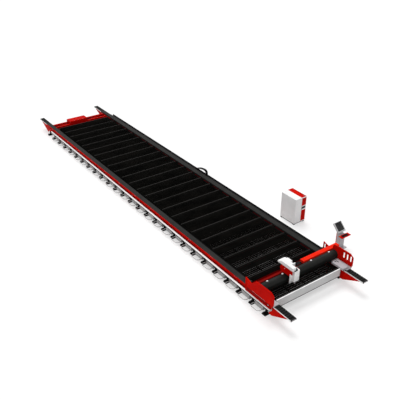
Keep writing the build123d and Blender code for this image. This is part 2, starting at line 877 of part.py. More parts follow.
# Bearing blocks between the travel rails and the end plates
block_depth = plate_inner_y - beam_outer_y - rail_depth - block_gap
block_end_offset = block_end_gap + block_length / 2
block_places = [plate_rear_x + block_end_offset, truck_front_x - block_end_offset]
with BuildPart() as bearing_blocks:
    for side in (-1, 1):
        with BuildSketch(Plane.XZ.offset(-side * (plate_inner_y - block_depth))):
            with Locations(*[(x, rail_mid_z) for x in block_places]):
                Rectangle(block_length, block_height)
        extrude(amount=-side * block_depth)
write(bearing_blocks.part, "bearing_blocks")

# Drive motors on the trucks, behind the beam
motor_radius = 60
motor_height = 180
motor_flange = 150
motor_flange_height = 40
motor_setback = 150
motor_x = plate_rear_x + motor_setback
with BuildPart() as drive_motors:
    with BuildSketch(Plane.XY.offset(gantry_beam_bottom_z)):
        with Locations((motor_x, truck_mid_y), (motor_x, -truck_mid_y)):
            Rectangle(motor_flange, motor_flange)
    extrude(amount=motor_flange_height)
    with BuildSketch(Plane.XY.offset(gantry_beam_bottom_z + motor_flange_height)):
        with Locations((motor_x, truck_mid_y), (motor_x, -truck_mid_y)):
            Circle(motor_radius)
    extrude(amount=motor_height)
write(drive_motors.part, "drive_motors")

# Lower tray: a channel between the end plates that holds the cross chain
with BuildPart() as lower_tray:
    with BuildSketch(Plane.XZ.offset(-plate_inner_y)):
        with Locations((tray_mid_x, lower_tray_bottom_z)):
            Rectangle(tray_width, lower_tray_height, align=(Align.CENTER, Align.MIN))
        with Locations((tray_mid_x, lower_tray_bottom_z + tray_wall)):
            Rectangle(
                tray_width - 2 * tray_wall,
                lower_tray_height,
                align=(Align.CENTER, Align.MIN),
                mode=Mode.SUBTRACT,
            )
    extrude(amount=2 * plate_inner_y)
write(lower_tray.part, "lower_tray")

# Upper tray: a box tray over the right half on posts, reaching past the right end plate
tray_post_inset = 150
tray_post_width = 80
first_post_y = upper_tray_start_y + tray_post_inset
last_post_y = plate_inner_y - tray_post_inset
tray_post_places = [first_post_y, (first_post_y + last_post_y) / 2, last_post_y]
with BuildPart() as upper_tray:
    with BuildSketch(Plane.XZ.offset(-upper_tray_end_y)):
        with Locations((upper_tray_rear_x + upper_tray_width / 2, upper_tray_bottom_z)):
            Rectangle(upper_tray_width, upper_tray_height, align=(Align.CENTER, Align.MIN))
        with Locations((upper_tray_rear_x + upper_tray_width / 2, upper_tray_bottom_z + tray_wall)):
            Rectangle(
                upper_tray_width - 2 * tray_wall,
                upper_tray_height - 2 * tray_wall,
                align=(Align.CENTER, Align.MIN),
                mode=Mode.SUBTRACT,
            )
    extrude(amount=upper_tray_end_y - upper_tray_start_y)
    with BuildSketch(Plane.XY.offset(lower_tray_top_z)):
        with Locations(*[(tray_rear_x + tray_width - tray_wall / 2, y) for y in tray_post_places]):
            Rectangle(tray_wall, tray_post_width)
    extrude(amount=upper_tray_gap)
write(upper_tray.part, "upper_tray")

# Cross chain lying in the right half of the lower tray
cross_chain_end_y = plate_inner_y - cross_chain_end_gap
with BuildPart() as cross_chain:
    with BuildSketch(Plane.XY.offset(lower_tray_bottom_z + tray_wall)):
        with Locations((tray_mid_x, (cross_chain_start_y + cross_chain_end_y) / 2)):
            Rectangle(
                tray_width - 2 * tray_wall - 2 * cross_chain_side_gap,
                cross_chain_end_y - cross_chain_start_y,
            )
    extrude(amount=cross_chain_height)
write(cross_chain.part, "cross_chain")

# Cross rails on the rear face of the beam
with BuildPart() as cross_rails:
    with BuildSketch(Plane.XZ.offset(-(plate_inner_y - rail_end_gap))):
        for rail_z in (upper_cross_rail_z, lower_cross_rail_z):
            with Locations((beam_rear_x - cross_rail_depth / 2, rail_z)):
                Rectangle(cross_rail_depth, cross_rail_height)
    extrude(amount=2 * (plate_inner_y - rail_end_gap))
write(cross_rails.part, "cross_rails")

# Carriage frame: rear plate with blocks on the cross rails, a top arm over the hood and side cheeks
arm_bottom_z = hood_top_z + hood_clearance
arm_top_z = arm_bottom_z + carriage_plate
rear_plate_x = beam_rear_x - cross_rail_depth - carriage_gap
front_plate_x = hood_front_x + hood_front_gap
plate_foot_drop = 50
cross_block_height = 60
cheek_wall = 10
cheek_height = 375
cheek_rear_reach = 200
cheek_rear_rise = 175
cheek_rear_slope = 80
cheek_shoulder = 100
cheek_nose = 170
cheek_nose_rise = 155
cheek_top_z = arm_bottom_z + cheek_height
cheek_rear_x = rear_plate_x - carriage_plate - cheek_rear_reach
cheek_nose_z = arm_bottom_z + cheek_nose_rise
cheek_nose_x = front_plate_x + cheek_nose
with BuildPart() as carriage_frame:
    with BuildSketch(Plane.XZ.offset(-(carriage_y + carriage_half))):
        with BuildLine():
            Polyline(
                (rear_plate_x - carriage_plate, lower_cross_rail_z - plate_foot_drop),
                (rear_plate_x, lower_cross_rail_z - plate_foot_drop),
                (rear_plate_x, arm_bottom_z),
                (front_plate_x, arm_bottom_z),
                (front_plate_x, arm_top_z),
                (rear_plate_x - carriage_plate, arm_top_z),
                close=True,
            )
        make_face()
        block_mid_x = rear_plate_x + (carriage_gap - block_gap) / 2
        for rail_z in (upper_cross_rail_z, lower_cross_rail_z):
            with Locations((block_mid_x, rail_z)):
                Rectangle(carriage_gap - block_gap, cross_block_height)
    extrude(amount=2 * carriage_half)
    for cheek_y in (carriage_y + carriage_half, carriage_y - carriage_half + cheek_wall):
        with BuildSketch(Plane.XZ.offset(-cheek_y)):
            with BuildLine():
                Polyline(
                    (cheek_rear_x + cheek_rear_slope, arm_bottom_z),
                    (cheek_rear_x, arm_bottom_z + cheek_rear_rise),
                    (cheek_rear_x + cheek_shoulder, cheek_top_z),
                    (cheek_nose_x, cheek_top_z),
                    (cheek_nose_x, cheek_nose_z),
                    (front_plate_x, cheek_nose_z),
                    (front_plate_x, arm_bottom_z),
                    close=True,
                )
            make_face()
        extrude(amount=cheek_wall)
write(carriage_frame.part, "carriage_frame")

# Carriage cover: a stepped sheet box on the cheeks, cut away beside the head
carriage_cover_wall = 4
cover_rear_reach = 180
cover_front_reach = 10
cover_height = 180
cover_rear_height = 110
cover_rear_edge = 70
cover_rear_slope = 100
cover_rear_flat = 80
cover_step = 40
cover_cut_setback = 120
cover_cut_width = 230
cover_notch_gap = 40
cover_notch_length = 170
cover_notch_width = 110
cover_rear_x = cheek_rear_x - cover_rear_reach
cover_front_x = cheek_nose_x + cover_front_reach
cover_step_x = cover_rear_x + cover_rear_slope + cover_rear_flat
cover_cut_x = front_plate_x - cover_cut_setback
cover_far_y = carriage_y + carriage_half
with BuildPart() as carriage_cover:
    with BuildSketch(Plane.XZ.offset(-cover_far_y)):
        with BuildLine():
            Polyline(
                (cover_rear_x, cheek_top_z),
                (cover_rear_x, cheek_top_z + cover_rear_edge),
                (cover_rear_x + cover_rear_slope, cheek_top_z + cover_rear_height),
                (cover_step_x, cheek_top_z + cover_rear_height),
                (cover_step_x + cover_step, cheek_top_z + cover_height),
                (cover_front_x, cheek_top_z + cover_height),
                (cover_front_x, cheek_top_z),
                close=True,
            )
        make_face()
    extrude(amount=2 * carriage_half)
    with BuildSketch(Plane.XY.offset(cheek_top_z)):
        with Locations((cover_cut_x, cover_far_y)):
            Rectangle(cover_front_x - cover_cut_x, cover_cut_width, align=(Align.MIN, Align.MAX))
        with Locations((cover_cut_x - cover_notch_gap, cover_far_y)):
            Rectangle(cover_notch_length, cover_notch_width, align=(Align.MAX, Align.MAX))
    extrude(amount=cover_height, mode=Mode.SUBTRACT)
    offset(amount=-carriage_cover_wall, openings=faces().sort_by(Axis.Z)[0])
write(carriage_cover.part, "carriage_cover")

# Lift plate: the white front plate of the carriage, with the lift rail inside the head housing
lift_plate_bottom_z = head_bottom_z - lift_plate_drop
lift_rail_top_z = head_bottom_z + head_height - head_wall - lift_rail_top_gap
with BuildPart() as lift_plate:
    with BuildSketch(Plane.YZ.offset(front_plate_x)):
        with Locations((carriage_y, lift_plate_bottom_z)):
            Rectangle(2 * carriage_half, cheek_nose_z - lift_plate_bottom_z, align=(Align.CENTER, Align.MIN))
        with Locations((carriage_y, cheek_nose_z)):
            Rectangle(
                2 * (carriage_half - cheek_wall),
                cheek_top_z - cheek_nose_z,
                align=(Align.CENTER, Align.MIN),
            )
    extrude(amount=front_plate_thickness)
    with BuildSketch(Plane.YZ.offset(front_plate_x + front_plate_thickness)):
        with Locations((head_y, lift_plate_bottom_z)):
            Rectangle(lift_rail_width, lift_rail_top_z - lift_plate_bottom_z, align=(Align.CENTER, Align.MIN))
    extrude(amount=lift_rail_depth)
write(lift_plate.part, "lift_plate")

# Head housing: a sheet box on the lift plate, open at its back and underneath for the head
head_rear_x = front_plate_x + front_plate_thickness
head_edge_radius = 18
with BuildPart() as head_housing:
    with BuildSketch(Plane.XY.offset(head_bottom_z)):
        with Locations((head_rear_x, head_y)):
            Rectangle(head_depth, head_width, align=(Align.MIN, Align.CENTER))
        fillet(vertices().group_by(Axis.X)[-1], head_edge_radius)
    extrude(amount=head_height)
    offset(amount=-head_wall, openings=[faces().sort_by(Axis.X)[0], faces().sort_by(Axis.Z)[0]])
write(head_housing.part, "head_housing")

# Cutting head: turned body with a nozzle tip and a slide block that rides on the lift rail
head_axis_x = head_rear_x + head_depth / 2
head_body_radius = 42
head_tip_radius = 4
head_cone_radius = 20
head_cone_height = 30
head_collar_height = 50
head_shoulder_height = 80
head_core_height = 300
slide_block_width = 70
slide_block_height = 200
slide_block_x = head_rear_x + lift_rail_depth + block_gap
head_top_z = head_bottom_z + head_core_height
with BuildPart() as cutting_head:
    with BuildSketch(Plane.XZ.offset(-head_y)):
        with BuildLine():
            Polyline(
                (head_axis_x, nozzle_tip_z),
                (head_axis_x + head_tip_radius, nozzle_tip_z),
                (head_axis_x + head_cone_radius, nozzle_tip_z + head_cone_height),
                (head_axis_x + head_cone_radius, nozzle_tip_z + head_collar_height),
                (head_axis_x + head_body_radius, nozzle_tip_z + head_shoulder_height),
                (head_axis_x + head_body_radius, head_top_z),
                (head_axis_x, head_top_z),
                close=True,
            )
        make_face()
    revolve(axis=Axis((head_axis_x, head_y, 0), (0, 0, 1)))
    with BuildSketch(Plane.XY.offset(head_top_z - slide_block_height)):
        with Locations((slide_block_x, head_y)):
            Rectangle(head_axis_x - slide_block_x, slide_block_width, align=(Align.MIN, Align.CENTER))
    extrude(amount=slide_block_height)
write(cutting_head.part, "cutting_head")

# Power cabinet: a sheet shell open towards +X, a front door, red cladding and feet
cabinet_front_x = cabinet_x + cabinet_length / 2
cabinet_rear_x = cabinet_x - cabinet_length / 2
cabinet_far_y = cabinet_near_y + cabinet_depth
cabinet_mid_y = cabinet_near_y + cabinet_depth / 2
cabinet_top_z = cabinet_foot_height + cabinet_height
shell_front_x = cabinet_front_x - door_thickness - door_gap
cabinet_mid_z = cabinet_foot_height + cabinet_height / 2
door_rear_x = cabinet_front_x - door_thickness
hinge_y = cabinet_near_y - hinge_offset
hinge_places = [cabinet_foot_height + hinge_inset, cabinet_top_z - hinge_inset]
hinge_reach = hinge_knuckle_length / 2 + running_gap + hinge_ear_length
with BuildPart() as cabinet_body:
    with BuildSketch(Plane.YZ.offset(cabinet_rear_x)):
        with Locations((cabinet_mid_y, cabinet_mid_z)):
            Rectangle(cabinet_depth, cabinet_height)
    extrude(amount=shell_front_x - cabinet_rear_x)
    with BuildSketch(Plane.YZ.offset(cabinet_rear_x + cabinet_wall)):
        with Locations((cabinet_mid_y, cabinet_mid_z)):
            Rectangle(cabinet_depth - 2 * cabinet_wall, cabinet_height - 2 * cabinet_wall)
    extrude(amount=cabinet_length, mode=Mode.SUBTRACT)
    for hinge_z in hinge_places:
        for ear_z in (hinge_z - hinge_reach, hinge_z + hinge_reach - hinge_ear_length):
            with BuildSketch(Plane.XY.offset(ear_z)):
                with Locations((door_rear_x, hinge_y)):
                    Circle(hinge_barrel_radius)
                    Rectangle(
                        3 * hinge_offset,
                        2 * hinge_barrel_radius,
                        align=(Align.MAX, Align.CENTER),
                    )
                with Locations((shell_front_x, hinge_y)):
                    Rectangle(2 * hinge_offset, hinge_offset, align=(Align.MAX, Align.MIN))
            extrude(amount=hinge_ear_length)
        with BuildSketch(Plane.XY.offset(hinge_z - hinge_reach)):
            with Locations((door_rear_x, hinge_y)):
                Circle(hinge_pin_radius)
        extrude(amount=2 * hinge_reach)
write(cabinet_body.part, "cabinet_body")

# Cabinet door: a folded sheet tray with two knuckles on its hinge side
with BuildPart() as cabinet_door:
    with BuildSketch(Plane.YZ.offset(door_rear_x)):
        with Locations((cabinet_mid_y, cabinet_mid_z)):
            Rectangle(cabinet_depth, cabinet_height)
    extrude(amount=door_thickness)
    chamfer(faces().sort_by(Axis.X)[-1].edges(), door_edge)
    with BuildSketch(Plane.YZ.offset(door_rear_x)):
        with Locations((cabinet_mid_y, cabinet_mid_z)):
            Rectangle(cabinet_depth - 2 * door_edge, cabinet_height - 2 * door_edge)
    extrude(amount=door_thickness - door_wall, mode=Mode.SUBTRACT)
    for hinge_z in hinge_places:
        with BuildSketch(Plane.XY.offset(hinge_z - hinge_knuckle_length / 2)):
            with Locations((door_rear_x, hinge_y)):
                Circle(hinge_barrel_radius)
                Rectangle(2 * hinge_barrel_radius, hinge_offset, align=(Align.MIN, Align.MIN))
                Circle(hinge_pin_radius + running_gap, mode=Mode.SUBTRACT)
        extrude(amount=hinge_knuckle_length)
write(cabinet_door.part, "cabinet_door")

# Laser source: a rounded unit standing on the cabinet floor
source_radius = 20
with BuildPart() as laser_source:
    with BuildSketch(Plane.XY.offset(cabinet_foot_height + cabinet_wall)):
        with Locations((cabinet_x - source_offset, cabinet_mid_y)):
            RectangleRounded(source_length, source_width, source_radius)
    extrude(amount=source_height)
    offset(amount=-cabinet_wall, openings=faces().sort_by(Axis.Z)[0])
write(laser_source.part, "laser_source")

# Red cladding over the far side and part of the top
with BuildPart() as cabinet_cladding:
    with BuildSketch(Plane.YZ.offset(cabinet_rear_x)):
        with Locations((cabinet_far_y + cladding_wall, cabinet_foot_height)):
            Rectangle(
                cladding_depth + cladding_wall,
                cabinet_height + cladding_wall,
                align=(Align.MAX, Align.MIN),
            )
        with Locations((cabinet_far_y, cabinet_foot_height)):
            Rectangle(
                cladding_depth,
                cabinet_height,
                align=(Align.MAX, Align.MIN),
                mode=Mode.SUBTRACT,
            )
    extrude(amount=shell_front_x - cabinet_rear_x)
write(cabinet_cladding.part, "cabinet_cladding")

cabinet_foot_inset = 110
cabinet_foot_size = 90
cabinet_foot_chamfer = 8
with BuildPart() as cabinet_feet:
    with BuildSketch():
        with Locations((cabinet_x, cabinet_mid_y)):
            with GridLocations(
                cabinet_length - 2 * cabinet_foot_inset, cabinet_depth - 2 * cabinet_foot_inset, 2, 2
            ):
                Rectangle(cabinet_foot_size, cabinet_foot_size)
    extrude(amount=cabinet_foot_height)
    chamfer(faces().group_by(Axis.Z)[0].edges(), cabinet_foot_chamfer)
write(cabinet_feet.part, "cabinet_feet")

# Console column: base, column and the two ears and pin of the shelf hinge
column_top_z = base_thickness + column_height
shelf_bottom_z = column_top_z - shelf_drop
shelf_top_z = shelf_bottom_z + shelf_thickness
shelf_pin_x = console_x + column_depth / 2 + shelf_pin_gap
shelf_pin_z = shelf_bottom_z - shelf_knuckle_drop
ear_reach = shelf_knuckle_width / 2 + running_gap + shelf_ear_width
base_corner_radius = 30
with BuildPart() as console_column:
    with BuildSketch():
        with Locations((console_x, console_y)):
            RectangleRounded(base_length, base_width, base_corner_radius)
    extrude(amount=base_thickness)
    with BuildSketch(Plane.XY.offset(base_thickness)):
        with Locations((console_x, console_y)):
            Rectangle(column_depth, column_width)
    extrude(amount=column_height)
    with BuildSketch():
        with Locations((console_x, console_y)):
            Rectangle(column_depth - 2 * column_wall, column_width - 2 * column_wall)
    extrude(amount=column_top_z - column_wall, mode=Mode.SUBTRACT)
    for ear_y in (console_y + ear_reach, console_y - ear_reach + shelf_ear_width):
        with BuildSketch(Plane.XZ.offset(-ear_y)):
            with Locations((shelf_pin_x, shelf_pin_z)):
                Circle(shelf_knuckle_radius)
                Rectangle(
                    shelf_pin_gap,
                    2 * shelf_knuckle_radius,
                    align=(Align.MAX, Align.CENTER),
                )
        extrude(amount=shelf_ear_width)
    with BuildSketch(Plane.XZ.offset(-(console_y + ear_reach))):
        with Locations((shelf_pin_x, shelf_pin_z)):
            Circle(shelf_pin_radius)
    extrude(amount=2 * ear_reach)
write(console_column.part, "console_column")

# Monitor neck: a flat post behind the column with the bore of the tilt hinge at its top
tilt_x = console_x - column_depth / 2 - stand_gap - stand_thickness / 2
tilt_z = column_top_z + neck_height
stand_top_z = tilt_z - stand_top_gap
with BuildPart() as monitor_neck:
    with BuildSketch(Plane.XY.offset(base_thickness)):
        with Locations((tilt_x, console_y)):
            Rectangle(stand_thickness, stand_width)
    extrude(amount=stand_top_z - base_thickness)
    with BuildSketch(Plane.XZ.offset(-(console_y + neck_width / 2))):
        with Locations((tilt_x, tilt_z)):
            Rectangle(stand_thickness, 2 * stand_top_gap, align=(Align.CENTER, Align.MAX))
            Circle(neck_head)
            Circle(tilt_pin_radius, mode=Mode.SUBTRACT)
    extrude(amount=neck_width)
write(monitor_neck.part, "monitor_neck")

# Monitor: a flat screen with two ears and the tilt pin between them
screen_plane = Plane(
    origin=(tilt_x, console_y, tilt_z),
    x_dir=(0, 1, 0),
    z_dir=(1, 0, 1),
)
ear_inner_y = neck_width / 2 + tilt_side_gap
ear_outer_y = ear_inner_y + tilt_ear
with BuildPart() as monitor:
    with BuildSketch(screen_plane.offset(screen_offset)):
        Rectangle(screen_width, screen_height)
    extrude(amount=screen_depth)
    with BuildSketch(Plane.XZ.offset(-(console_y + ear_outer_y))):
        with Locations((tilt_x, tilt_z)):
            Circle(tilt_pin_radius - running_gap)
    extrude(amount=2 * ear_outer_y)
    for ear_y in (console_y + ear_outer_y, console_y - ear_inner_y):
        with BuildSketch(Plane.XZ.offset(-ear_y)):
            with BuildLine():
                Polyline(
                    (tilt_x - tilt_pin_radius, tilt_z - tilt_pin_radius),
                    (tilt_x + tilt_pin_radius, tilt_z - tilt_pin_radius),
                    (tilt_x + ear_long, tilt_z + tilt_pin_radius),
                    (tilt_x + tilt_pin_radius, tilt_z + ear_long),
                    (tilt_x - tilt_pin_radius, tilt_z + tilt_pin_radius),
                    close=True,
                )
            make_face()
        extrude(amount=tilt_ear)
write(monitor.part, "monitor")

# Keyboard shelf: a folded tray that swings down on the knuckle under its rear edge
shelf_rear_x = shelf_pin_x - shelf_knuckle_radius
stop_x = shelf_rear_x + stop_edge_gap
stop_y = console_y - shelf_width / 2 + stop_side_gap
with BuildPart() as keyboard_shelf:
    with BuildSketch(Plane.XY.offset(shelf_bottom_z)):
        with Locations((shelf_rear_x, console_y)):
            Rectangle(shelf_length, shelf_width, align=(Align.MIN, Align.CENTER))
        with Locations((stop_x, stop_y)):
            Circle(stop_stem_radius + running_gap, mode=Mode.SUBTRACT)
    extrude(amount=shelf_thickness)
    with BuildSketch(Plane.XY.offset(shelf_bottom_z)):
        with Locations((shelf_rear_x + shelf_length / 2, console_y)):
            Rectangle(shelf_length - 2 * shelf_wall, shelf_width - 2 * shelf_wall)
    extrude(amount=shelf_thickness - shelf_wall, mode=Mode.SUBTRACT)
    with BuildSketch(Plane.XZ.offset(-(console_y + shelf_knuckle_width / 2))):
        with Locations((shelf_pin_x, shelf_pin_z)):
            Circle(shelf_knuckle_radius)
            Rectangle(
                2 * shelf_knuckle_radius,
                shelf_knuckle_drop + shelf_thickness - shelf_wall,
                align=(Align.CENTER, Align.MIN),
            )
            Circle(shelf_pin_radius + running_gap, mode=Mode.SUBTRACT)
    extrude(amount=shelf_knuckle_width)
write(keyboard_shelf.part, "keyboard_shelf")

# Keyboard, screwed to the shelf
keyboard_corner_radius = 10
with BuildPart() as keyboard:
    with BuildSketch(Plane.XY.offset(shelf_top_z)):
        with Locations((shelf_rear_x + shelf_length / 2, console_y)):
            RectangleRounded(keyboard_depth, keyboard_width, keyboard_corner_radius)
    extrude(amount=keyboard_height)
write(keyboard.part, "keyboard")

# Stop button: cap, stem through the shelf and the ring that keeps it there
stop_ring_z = shelf_top_z - shelf_wall - running_gap - stop_ring_height
stop_cap_z = shelf_top_z + stop_travel + stop_cap_gap
with BuildPart() as stop_button:
    with BuildSketch(Plane.XY.offset(stop_ring_z)):
        with Locations((stop_x, stop_y)):
            Circle(stop_ring_radius)
    extrude(amount=stop_ring_height)
    with BuildSketch(Plane.XY.offset(stop_ring_z)):
        with Locations((stop_x, stop_y)):
            Circle(stop_stem_radius)
    extrude(amount=stop_cap_z - stop_ring_z)
    with BuildSketch(Plane.XY.offset(stop_cap_z)):
        with Locations((stop_x, stop_y)):
            Circle(stop_cap_radius)
    extrude(amount=stop_cap_height)
write(stop_button.part, "stop_button")
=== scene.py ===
import bpy
import bmesh
import math
from mathutils import Matrix, Vector


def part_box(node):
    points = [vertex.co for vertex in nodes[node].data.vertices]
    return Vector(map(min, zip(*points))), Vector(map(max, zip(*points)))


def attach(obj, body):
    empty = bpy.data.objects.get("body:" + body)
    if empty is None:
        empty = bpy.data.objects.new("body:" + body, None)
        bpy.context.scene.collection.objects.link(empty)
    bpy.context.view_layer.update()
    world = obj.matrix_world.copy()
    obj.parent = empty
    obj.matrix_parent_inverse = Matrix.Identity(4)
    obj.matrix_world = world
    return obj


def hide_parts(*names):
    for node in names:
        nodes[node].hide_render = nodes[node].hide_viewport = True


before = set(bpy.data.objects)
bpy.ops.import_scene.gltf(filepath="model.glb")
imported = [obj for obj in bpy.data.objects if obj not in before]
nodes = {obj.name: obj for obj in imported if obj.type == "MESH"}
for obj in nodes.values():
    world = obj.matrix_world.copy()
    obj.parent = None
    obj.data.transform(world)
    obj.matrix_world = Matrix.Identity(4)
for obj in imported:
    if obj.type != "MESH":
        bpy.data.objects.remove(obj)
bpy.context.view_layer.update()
scene = bpy.context.scene

# Camera, worked out from the module lines, the rail ends and the feet in the photo
cameraSet = {
    "place": (28.335, -17.145, 18.266),
    "yaw": 54.746,           # degrees round Z
    "pitch": 29.876,         # degrees below the horizon
    "focalShare": 1.44105,   # focal length over the frame's width
    "sensor": 36.0,
    "farthest": 400,
}


def placeCamera():
    data = bpy.data.cameras.new("camera")
    data.sensor_width = cameraSet["sensor"]
    data.lens = cameraSet["focalShare"] * cameraSet["sensor"]
    data.clip_end = cameraSet["farthest"]
    camera = bpy.data.objects.new("camera", data)
    scene.collection.objects.link(camera)
    camera.location = cameraSet["place"]
    tilt = math.radians(90 - cameraSet["pitch"])
    camera.rotation_euler = (tilt, 0, math.radians(cameraSet["yaw"]))
    scene.camera = camera


placeCamera()
scene.view_settings.view_transform = "Standard"
print("camera placed")


# Shader helpers
def startMaterial(name):
    mat = bpy.data.materials.new(name)
    mat.use_nodes = True
    tree = mat.node_tree
    shader = tree.nodes["Principled BSDF"]
    coords = tree.nodes.new("ShaderNodeTexCoord")
    return mat, tree, shader, coords.outputs["Object"]


def stretched(tree, coords, scale):
    mapping = tree.nodes.new("ShaderNodeMapping")
    mapping.inputs["Scale"].default_value = scale
    tree.links.new(coords, mapping.inputs["Vector"])
    return mapping.outputs["Vector"]


def noise(tree, vector, scale, detail=3.0, roughness=0.55):
    tex = tree.nodes.new("ShaderNodeTexNoise")
    tex.inputs["Scale"].default_value = scale
    tex.inputs["Detail"].default_value = detail
    tex.inputs["Roughness"].default_value = roughness
    tree.links.new(vector, tex.inputs["Vector"])
    return tex.outputs["Fac"]


def ramp(tree, factor, places, colours):
    node = tree.nodes.new("ShaderNodeValToRGB")
    tree.links.new(factor, node.inputs["Fac"])
    band = node.color_ramp
    while len(band.elements) < len(places):
        band.elements.new(0.5)
    for element, place, colour in zip(band.elements, places, colours):
        element.position = place
        element.color = (*colour, 1)
    return node.outputs["Color"]


noiseRange = (0.3, 0.7)   # where most of a noise's values lie


def spread(tree, factor, low, high):
    node = tree.nodes.new("ShaderNodeMapRange")
    node.inputs["From Min"].default_value = noiseRange[0]
    node.inputs["From Max"].default_value = noiseRange[1]
    node.inputs["To Min"].default_value = low
    node.inputs["To Max"].default_value = high
    tree.links.new(factor, node.inputs["Value"])
    return node.outputs["Result"]


def mixColour(tree, factor, first, second):
    node = tree.nodes.new("ShaderNodeMix")
    node.data_type = "RGBA"
    tree.links.new(factor, node.inputs["Factor"])
    for socket, value in ((node.inputs[6], first), (node.inputs[7], second)):
        if isinstance(value, tuple):
            socket.default_value = (*value, 1)
        else:
            tree.links.new(value, socket)
    return node.outputs[2]


def bump(tree, shader, height, distance, strength=1.0):
    node = tree.nodes.new("ShaderNodeBump")
    node.inputs["Strength"].default_value = strength
    node.inputs["Distance"].default_value = distance
    tree.links.new(height, node.inputs["Height"])
    tree.links.new(node.outputs["Normal"], shader.inputs["Normal"])


black, white = (0, 0, 0), (1, 1, 1)   # ends of a mask

# Powder coat and gloss paint on folded sheet
paintSet = {
    "cloud": 1.3, "grain": 90.0, "dustScale": 7.0,   # scales of the three noises
    "tint": (0.3, 0.55, 0.8),                        # where the worn, plain and fresh colours lie
    "dusty": (0.58, 0.78),
    "rough": (0.35, 0.5), "peel": 0.0004, "peelStrength": 0.35, "specular": 0.08,
}


def paint(name, look):
    mat, tree, shader, coords = startMaterial(name)
    broad = noise(tree, coords, look.get("cloud", paintSet["cloud"]), detail=4)
    fine = noise(tree, coords, paintSet["grain"], detail=2)
    base, worn = look["colour"], look["worn"]
    tint = ramp(tree, broad, paintSet["tint"], (worn, base, look.get("fresh", base)))
    dust = noise(tree, coords, paintSet["dustScale"], detail=6, roughness=0.7)
    dusty = ramp(tree, dust, paintSet["dusty"], (black, white))
    tree.links.new(mixColour(tree, dusty, tint, look.get("dust", worn)), shader.inputs["Base Color"])
    low, high = look.get("rough", paintSet["rough"])
    tree.links.new(spread(tree, broad, low, high), shader.inputs["Roughness"])
    bump(tree, shader, fine, paintSet["peel"], paintSet["peelStrength"])
    shader.inputs["Specular IOR Level"].default_value = look.get("specular", paintSet["specular"])
    return mat


# Ground or brushed steel, with the lines of the grinding along one axis
steelSet = {
    "stretch": (1, 30, 30), "lines": 8, "cloud": 2.0, "tint": (0.3, 0.7),
    "rough": (0.25, 0.45), "metal": 1.0, "groove": 0.0003, "grooveStrength": 0.3,
}


def steel(name, look):
    mat, tree, shader, coords = startMaterial(name)
    drawn = stretched(tree, coords, look.get("stretch", steelSet["stretch"]))
    lines = noise(tree, drawn, steelSet["lines"])
    broad = noise(tree, coords, steelSet["cloud"], detail=4)
    tint = ramp(tree, lines, steelSet["tint"], (look["dark"], look["colour"]))
    tree.links.new(tint, shader.inputs["Base Color"])
    low, high = look.get("rough", steelSet["rough"])
    tree.links.new(spread(tree, broad, low, high), shader.inputs["Roughness"])
    shader.inputs["Metallic"].default_value = steelSet["metal"]
    bump(tree, shader, lines, steelSet["groove"], steelSet["grooveStrength"])
    return mat


# Burnt and spattered steel of the support slats
burntSet = {
    "stretch": (1.0, 0.5, 1.0), "patches": 1.6, "specks": 60,
    "tint": (0.35, 0.6, 0.82), "spattered": (0.66, 0.72),
    "rough": (0.55, 0.8), "crust": 0.0012, "crustStrength": 0.6,
}


def burntSteel(name, look):
    mat, tree, shader, coords = startMaterial(name)
    along = stretched(tree, coords, burntSet["stretch"])
    patches = noise(tree, along, burntSet["patches"], detail=5, roughness=0.65)
    specks = noise(tree, coords, burntSet["specks"])
    tint = ramp(tree, patches, burntSet["tint"], (look["dark"], look["colour"], look["rust"]))
    speckMask = ramp(tree, specks, burntSet["spattered"], (black, white))
    tree.links.new(mixColour(tree, speckMask, tint, look["spatter"]), shader.inputs["Base Color"])
    low, high = burntSet["rough"]
    tree.links.new(spread(tree, patches, low, high), shader.inputs["Roughness"])
    shader.inputs["Metallic"].default_value = look["metal"]
    shader.inputs["Specular IOR Level"].default_value = look["specular"]
    bump(tree, shader, specks, burntSet["crust"], burntSet["crustStrength"])
    return mat


# Moulded plastic with a fine texture
plasticSet = {
    "grain": 220, "cloud": 3, "tint": (0.3, 0.7), "darker": 0.75,
    "rough": (0.4, 0.55), "specular": 0.15, "texture": 0.0002, "textureStrength": 0.4,
}


def plastic(name, look):
    mat, tree, shader, coords = startMaterial(name)
    grain = noise(tree, coords, plasticSet["grain"], detail=2)
    broad = noise(tree, coords, plasticSet["cloud"])
    base = look["colour"]
    darker = tuple(share * plasticSet["darker"] for share in base)
    tint = ramp(tree, broad, plasticSet["tint"], (darker, base))
    tree.links.new(tint, shader.inputs["Base Color"])
    low, high = look.get("rough", plasticSet["rough"])
    tree.links.new(spread(tree, broad, low, high), shader.inputs["Roughness"])
    shader.inputs["Specular IOR Level"].default_value = look.get("specular", plasticSet["specular"])
    bump(tree, shader, grain, plasticSet["texture"], plasticSet["textureStrength"])
    return mat


# Dark display glass in two close tones
glassSet = {"tint": (0.35, 0.65), "rough": (0.12, 0.2)}


def displayGlass(name, look):
    mat, tree, shader, coords = startMaterial(name)
    cloud = noise(tree, coords, look["cloud"], detail=2)
    tint = ramp(tree, cloud, glassSet["tint"], (look["edge"], look["colour"]))
    tree.links.new(tint, shader.inputs["Base Color"])
    low, high = glassSet["rough"]
    tree.links.new(spread(tree, cloud, low, high), shader.inputs["Roughness"])
    shader.inputs["Specular IOR Level"].default_value = look["specular"]
    return mat


